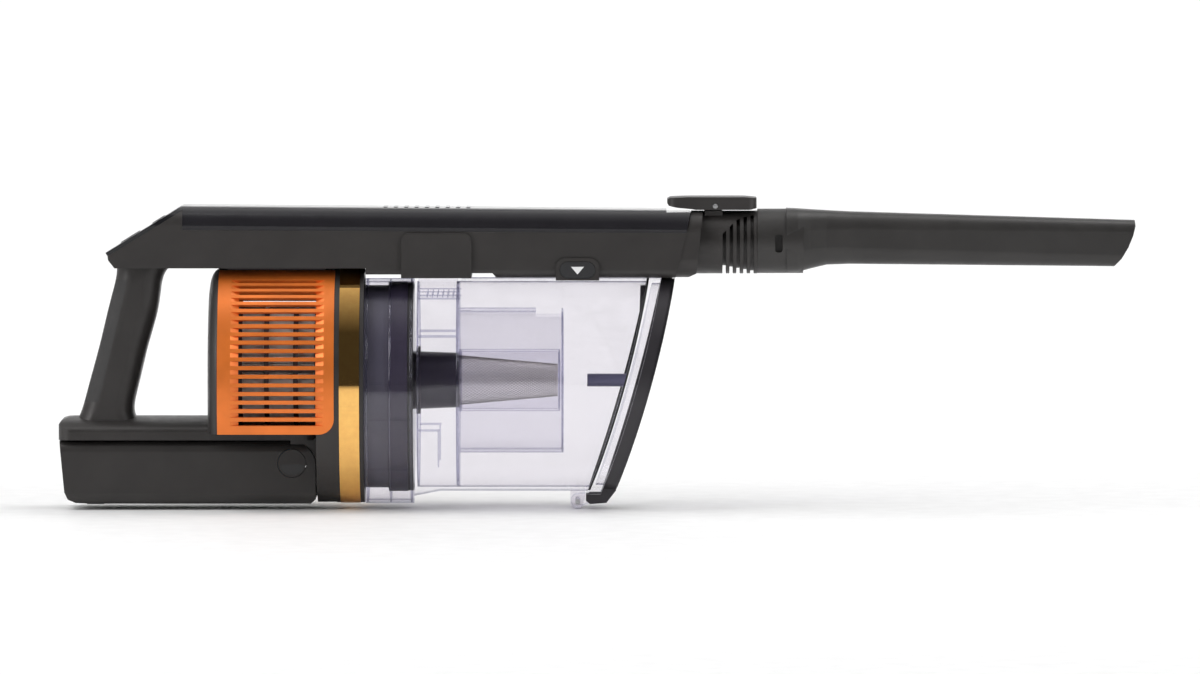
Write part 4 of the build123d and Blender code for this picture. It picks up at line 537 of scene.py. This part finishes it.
def cup_rails():
    """Guide rails, a toothed pocket and stiffening bars moulded inside the cup."""
    cup_low, cup_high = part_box("cup_shell")
    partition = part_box("shroud_tube")[0].x
    hub = middle("cyclone_hub")
    rear = cup_low.x + 3.0 * MM
    rail_end = rear + 26.0 * MM
    rail_y, bar_y, thick = 19.0 * MM, 33.0 * MM, 1.2 * MM
    rail_low, rail_high = cup_high.z - 13.0 * MM, cup_high.z - 7.8 * MM
    tooth_low, tooth_high = cup_high.z - 11.8 * MM, cup_high.z - 8.6 * MM
    tooth_start, tooth_pitch, tooth_length, teeth = 5.0 * MM, 3.2 * MM, 0.8 * MM, 6
    upper_low, upper_high = hub.z + 28.0 * MM, hub.z + 29.6 * MM
    lower_low, lower_high = hub.z - 30.0 * MM, hub.z - 28.6 * MM
    post_low, post_x, post_length = hub.z - 52.0 * MM, rear + 12.0 * MM, 1.0 * MM

    def build(work):
        for side in (-1, 1):
            near, far = sorted((side * rail_y, side * (rail_y + thick)))
            block(work, (rear, near, rail_low), (rail_end, far, tooth_low))
            block(work, (rear, near, tooth_high), (rail_end, far, rail_high))
            for tooth in range(teeth):
                x = rear + tooth_start + tooth_pitch * tooth
                block(work, (x, near, tooth_low), (x + tooth_length, far, tooth_high))
            near, far = sorted((side * bar_y, side * (bar_y + thick)))
            block(work, (rear, near, upper_low), (partition, far, upper_high))
            block(work, (rear, near, lower_low), (partition - 10.0 * MM, far, lower_high))
            block(work, (post_x, near, post_low), (post_x + post_length, far, lower_low))

    piece = mesh_piece("cup_rails", "dust_cup", MATERIALS["clear_bead"], build)
    rounded(piece, 0.15)


def collar_beads():
    """Three raised hoops on the inside of the clear collar."""
    low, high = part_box("cup_collar")
    centre = middle("cup_collar")
    inset = 0.3 * MM
    radii = [half - inset for half in half_size("cup_collar")]
    hoops = ((low.x + 0.8 * MM, 1.2, 1.2), (low.x + 15.2 * MM, 0.9, 1.1), (high.x - 2.0 * MM, 1.2, 1.2))

    def build(work):
        for x, width, wall in hoops:
            ring_bead(work, x, width * MM, centre, radii, wall * MM)

    piece = mesh_piece("collar_beads", "dust_cup", MATERIALS["clear_bead"], build)
    rounded(piece, 0.25)


def half_disc(work, centre, radius, rows_y, steps=24):
    """Lower half of a disc square to Y, closed between two places along Y."""
    rows = []
    for y in rows_y:
        row = []
        for step in range(steps + 1):
            angle = math.pi + math.pi * step / steps
            row.append(work.verts.new((
                centre.x + radius * math.cos(angle), y, centre.z + radius * math.sin(angle))))
        rows.append(row)
        work.faces.new(row)
    for first in range(steps + 1):
        second = (first + 1) % (steps + 1)
        work.faces.new((rows[0][first], rows[0][second], rows[1][second], rows[1][first]))


def latch_shades():
    """Painted shade: a black half-disc sheet in the lower half of each battery latch's finger recess,
    standing in for the shade that falls there.
    """
    rim, drop = 1.3 * MM, 0.6 * MM
    shallow, deep = 0.46 * MM, 0.6 * MM
    for side, node in ((-1, "latch_right"), (1, "latch_left")):
        low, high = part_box(node)
        centre = middle(node) - Vector((0.0, 0.0, drop))
        radius = (high.z - low.z) / 2 - rim
        face = low.y if side < 0 else high.y
        rows_y = (face - side * shallow, face - side * deep)

        def build(work):
            half_disc(work, centre, radius, rows_y)

        # Black half-disc sheet: painted shade in the lower half of the recess, not a dark part of the
        # latch.
        mesh_piece(f"{node}_painted_shade", f"{node}_body", MATERIALS["painted_shade_black"], build)


# ---------------------------------------------------------------------------
# Floor, light and camera
# ---------------------------------------------------------------------------
def stage_paint():
    """Pale matt paint on the front of the backdrop; from behind, the backdrop is open."""
    material, tree, shader = new_shader("backdrop_paint")
    speck = tree.noise(60.0, 3.0)
    tree.link(tree.ramp(speck, 0.86, 0.9), shader.inputs["Base Color"])
    shader.inputs["Roughness"].default_value = 0.6
    side = tree.add("ShaderNodeNewGeometry")
    from_front = tree.spread(side.outputs["Backfacing"], 1.0, 0.0, 0.0, 1.0)
    tree.link(from_front, shader.inputs["Alpha"])
    return material


def backdrop():
    """Pale floor that curves up into a pale wall behind the object."""
    width, near, far, height, bend = 7.0, -9.0, 2.4, 3.6, 0.9
    profile = [(near, 0.0)]
    for step in range(17):
        angle = 0.5 * math.pi * step / 16
        profile.append((far - bend + bend * math.sin(angle), bend - bend * math.cos(angle)))
    profile.append((far, height))

    mesh = bpy.data.meshes.new("backdrop")
    work = bmesh.new()
    rows = []
    for y, z in profile:
        rows.append([work.verts.new((x, y, z)) for x in (-width, width)])
    for first, second in zip(rows, rows[1:]):
        work.faces.new((first[0], first[1], second[1], second[0]))
    work.to_mesh(mesh)
    work.free()
    for face in mesh.polygons:
        face.use_smooth = True
    mesh.materials.append(stage_paint())
    piece = bpy.data.objects.new("backdrop", mesh)
    bpy.context.scene.collection.objects.link(piece)


def softbox(name, place, target, size, power):
    """Rectangular area light aimed at a point."""
    light = bpy.data.lights.new(name, "AREA")
    light.shape = "RECTANGLE"
    light.size, light.size_y = size
    light.energy = power
    lamp = bpy.data.objects.new(name, light)
    lamp.location = place
    aim = Vector(target) - Vector(place)
    lamp.rotation_euler = aim.to_track_quat("-Z", "Y").to_euler()
    bpy.context.scene.collection.objects.link(lamp)


def studio_world():
    """Bright surroundings behind and above, darker on the camera's side."""
    world = bpy.data.worlds.new("studio")
    world.use_nodes = True
    tree = Tree(world.node_tree)
    direction = tree.add("ShaderNodeTexCoord").outputs["Generated"]
    split = tree.add("ShaderNodeSeparateXYZ")
    tree.link(direction, split.inputs["Vector"])
    shade = tree.spread(split.outputs["Y"], 0.05, 0.72, -0.75, 0.35)
    background = tree.add("ShaderNodeBackground")
    background.inputs["Color"].default_value = (1.0, 1.0, 1.0, 1.0)
    tree.link(shade, background.inputs["Strength"])
    output = tree.add("ShaderNodeOutputWorld")
    tree.link(background.outputs["Background"], output.inputs["Surface"])
    bpy.context.scene.world = world


def studio():
    """Backdrop, lights and world."""
    backdrop()
    studio_world()
    centre = (0.0, 0.0, 0.1)
    softbox("left", (-2.0, -1.3, 1.2), centre, (1.0, 1.8), 30)
    softbox("right", (2.1, -1.5, 1.1), centre, (1.0, 1.8), 24)
    softbox("top_left", (-1.1, -0.5, 2.2), centre, (1.2, 1.2), 17)
    softbox("top_right", (1.0, 0.4, 2.2), centre, (1.2, 1.2), 17)
    softbox("wall", (0.0, 1.2, 1.6), (0.0, 2.4, 0.7), (4.0, 1.0), 20)


def camera():
    """Long-lens camera square to the right side, a little above it."""
    data = bpy.data.cameras.new("camera")
    data.lens = 300.0
    data.sensor_width = 36.0
    view_width = 0.744
    distance = view_width * data.lens / data.sensor_width
    lift = math.radians(3.0)
    target = Vector((0.0017, 0.0, 0.106))
    eye = bpy.data.objects.new("camera", data)
    eye.location = target + distance * Vector((0.0, -math.cos(lift), math.sin(lift)))
    eye.rotation_euler = (target - eye.location).to_track_quat("-Z", "Y").to_euler()
    bpy.context.scene.collection.objects.link(eye)
    bpy.context.scene.camera = eye


dress_nodes()
pleated_drum()
woven_screen()
button_triangle()
cup_beads()
cup_rails()
collar_beads()
latch_shades()
studio()
camera()
bpy.context.scene.view_settings.view_transform = "Standard"
bpy.context.scene.cycles.transparent_max_bounces = 32   # cup, shroud and sleeve lie behind each other
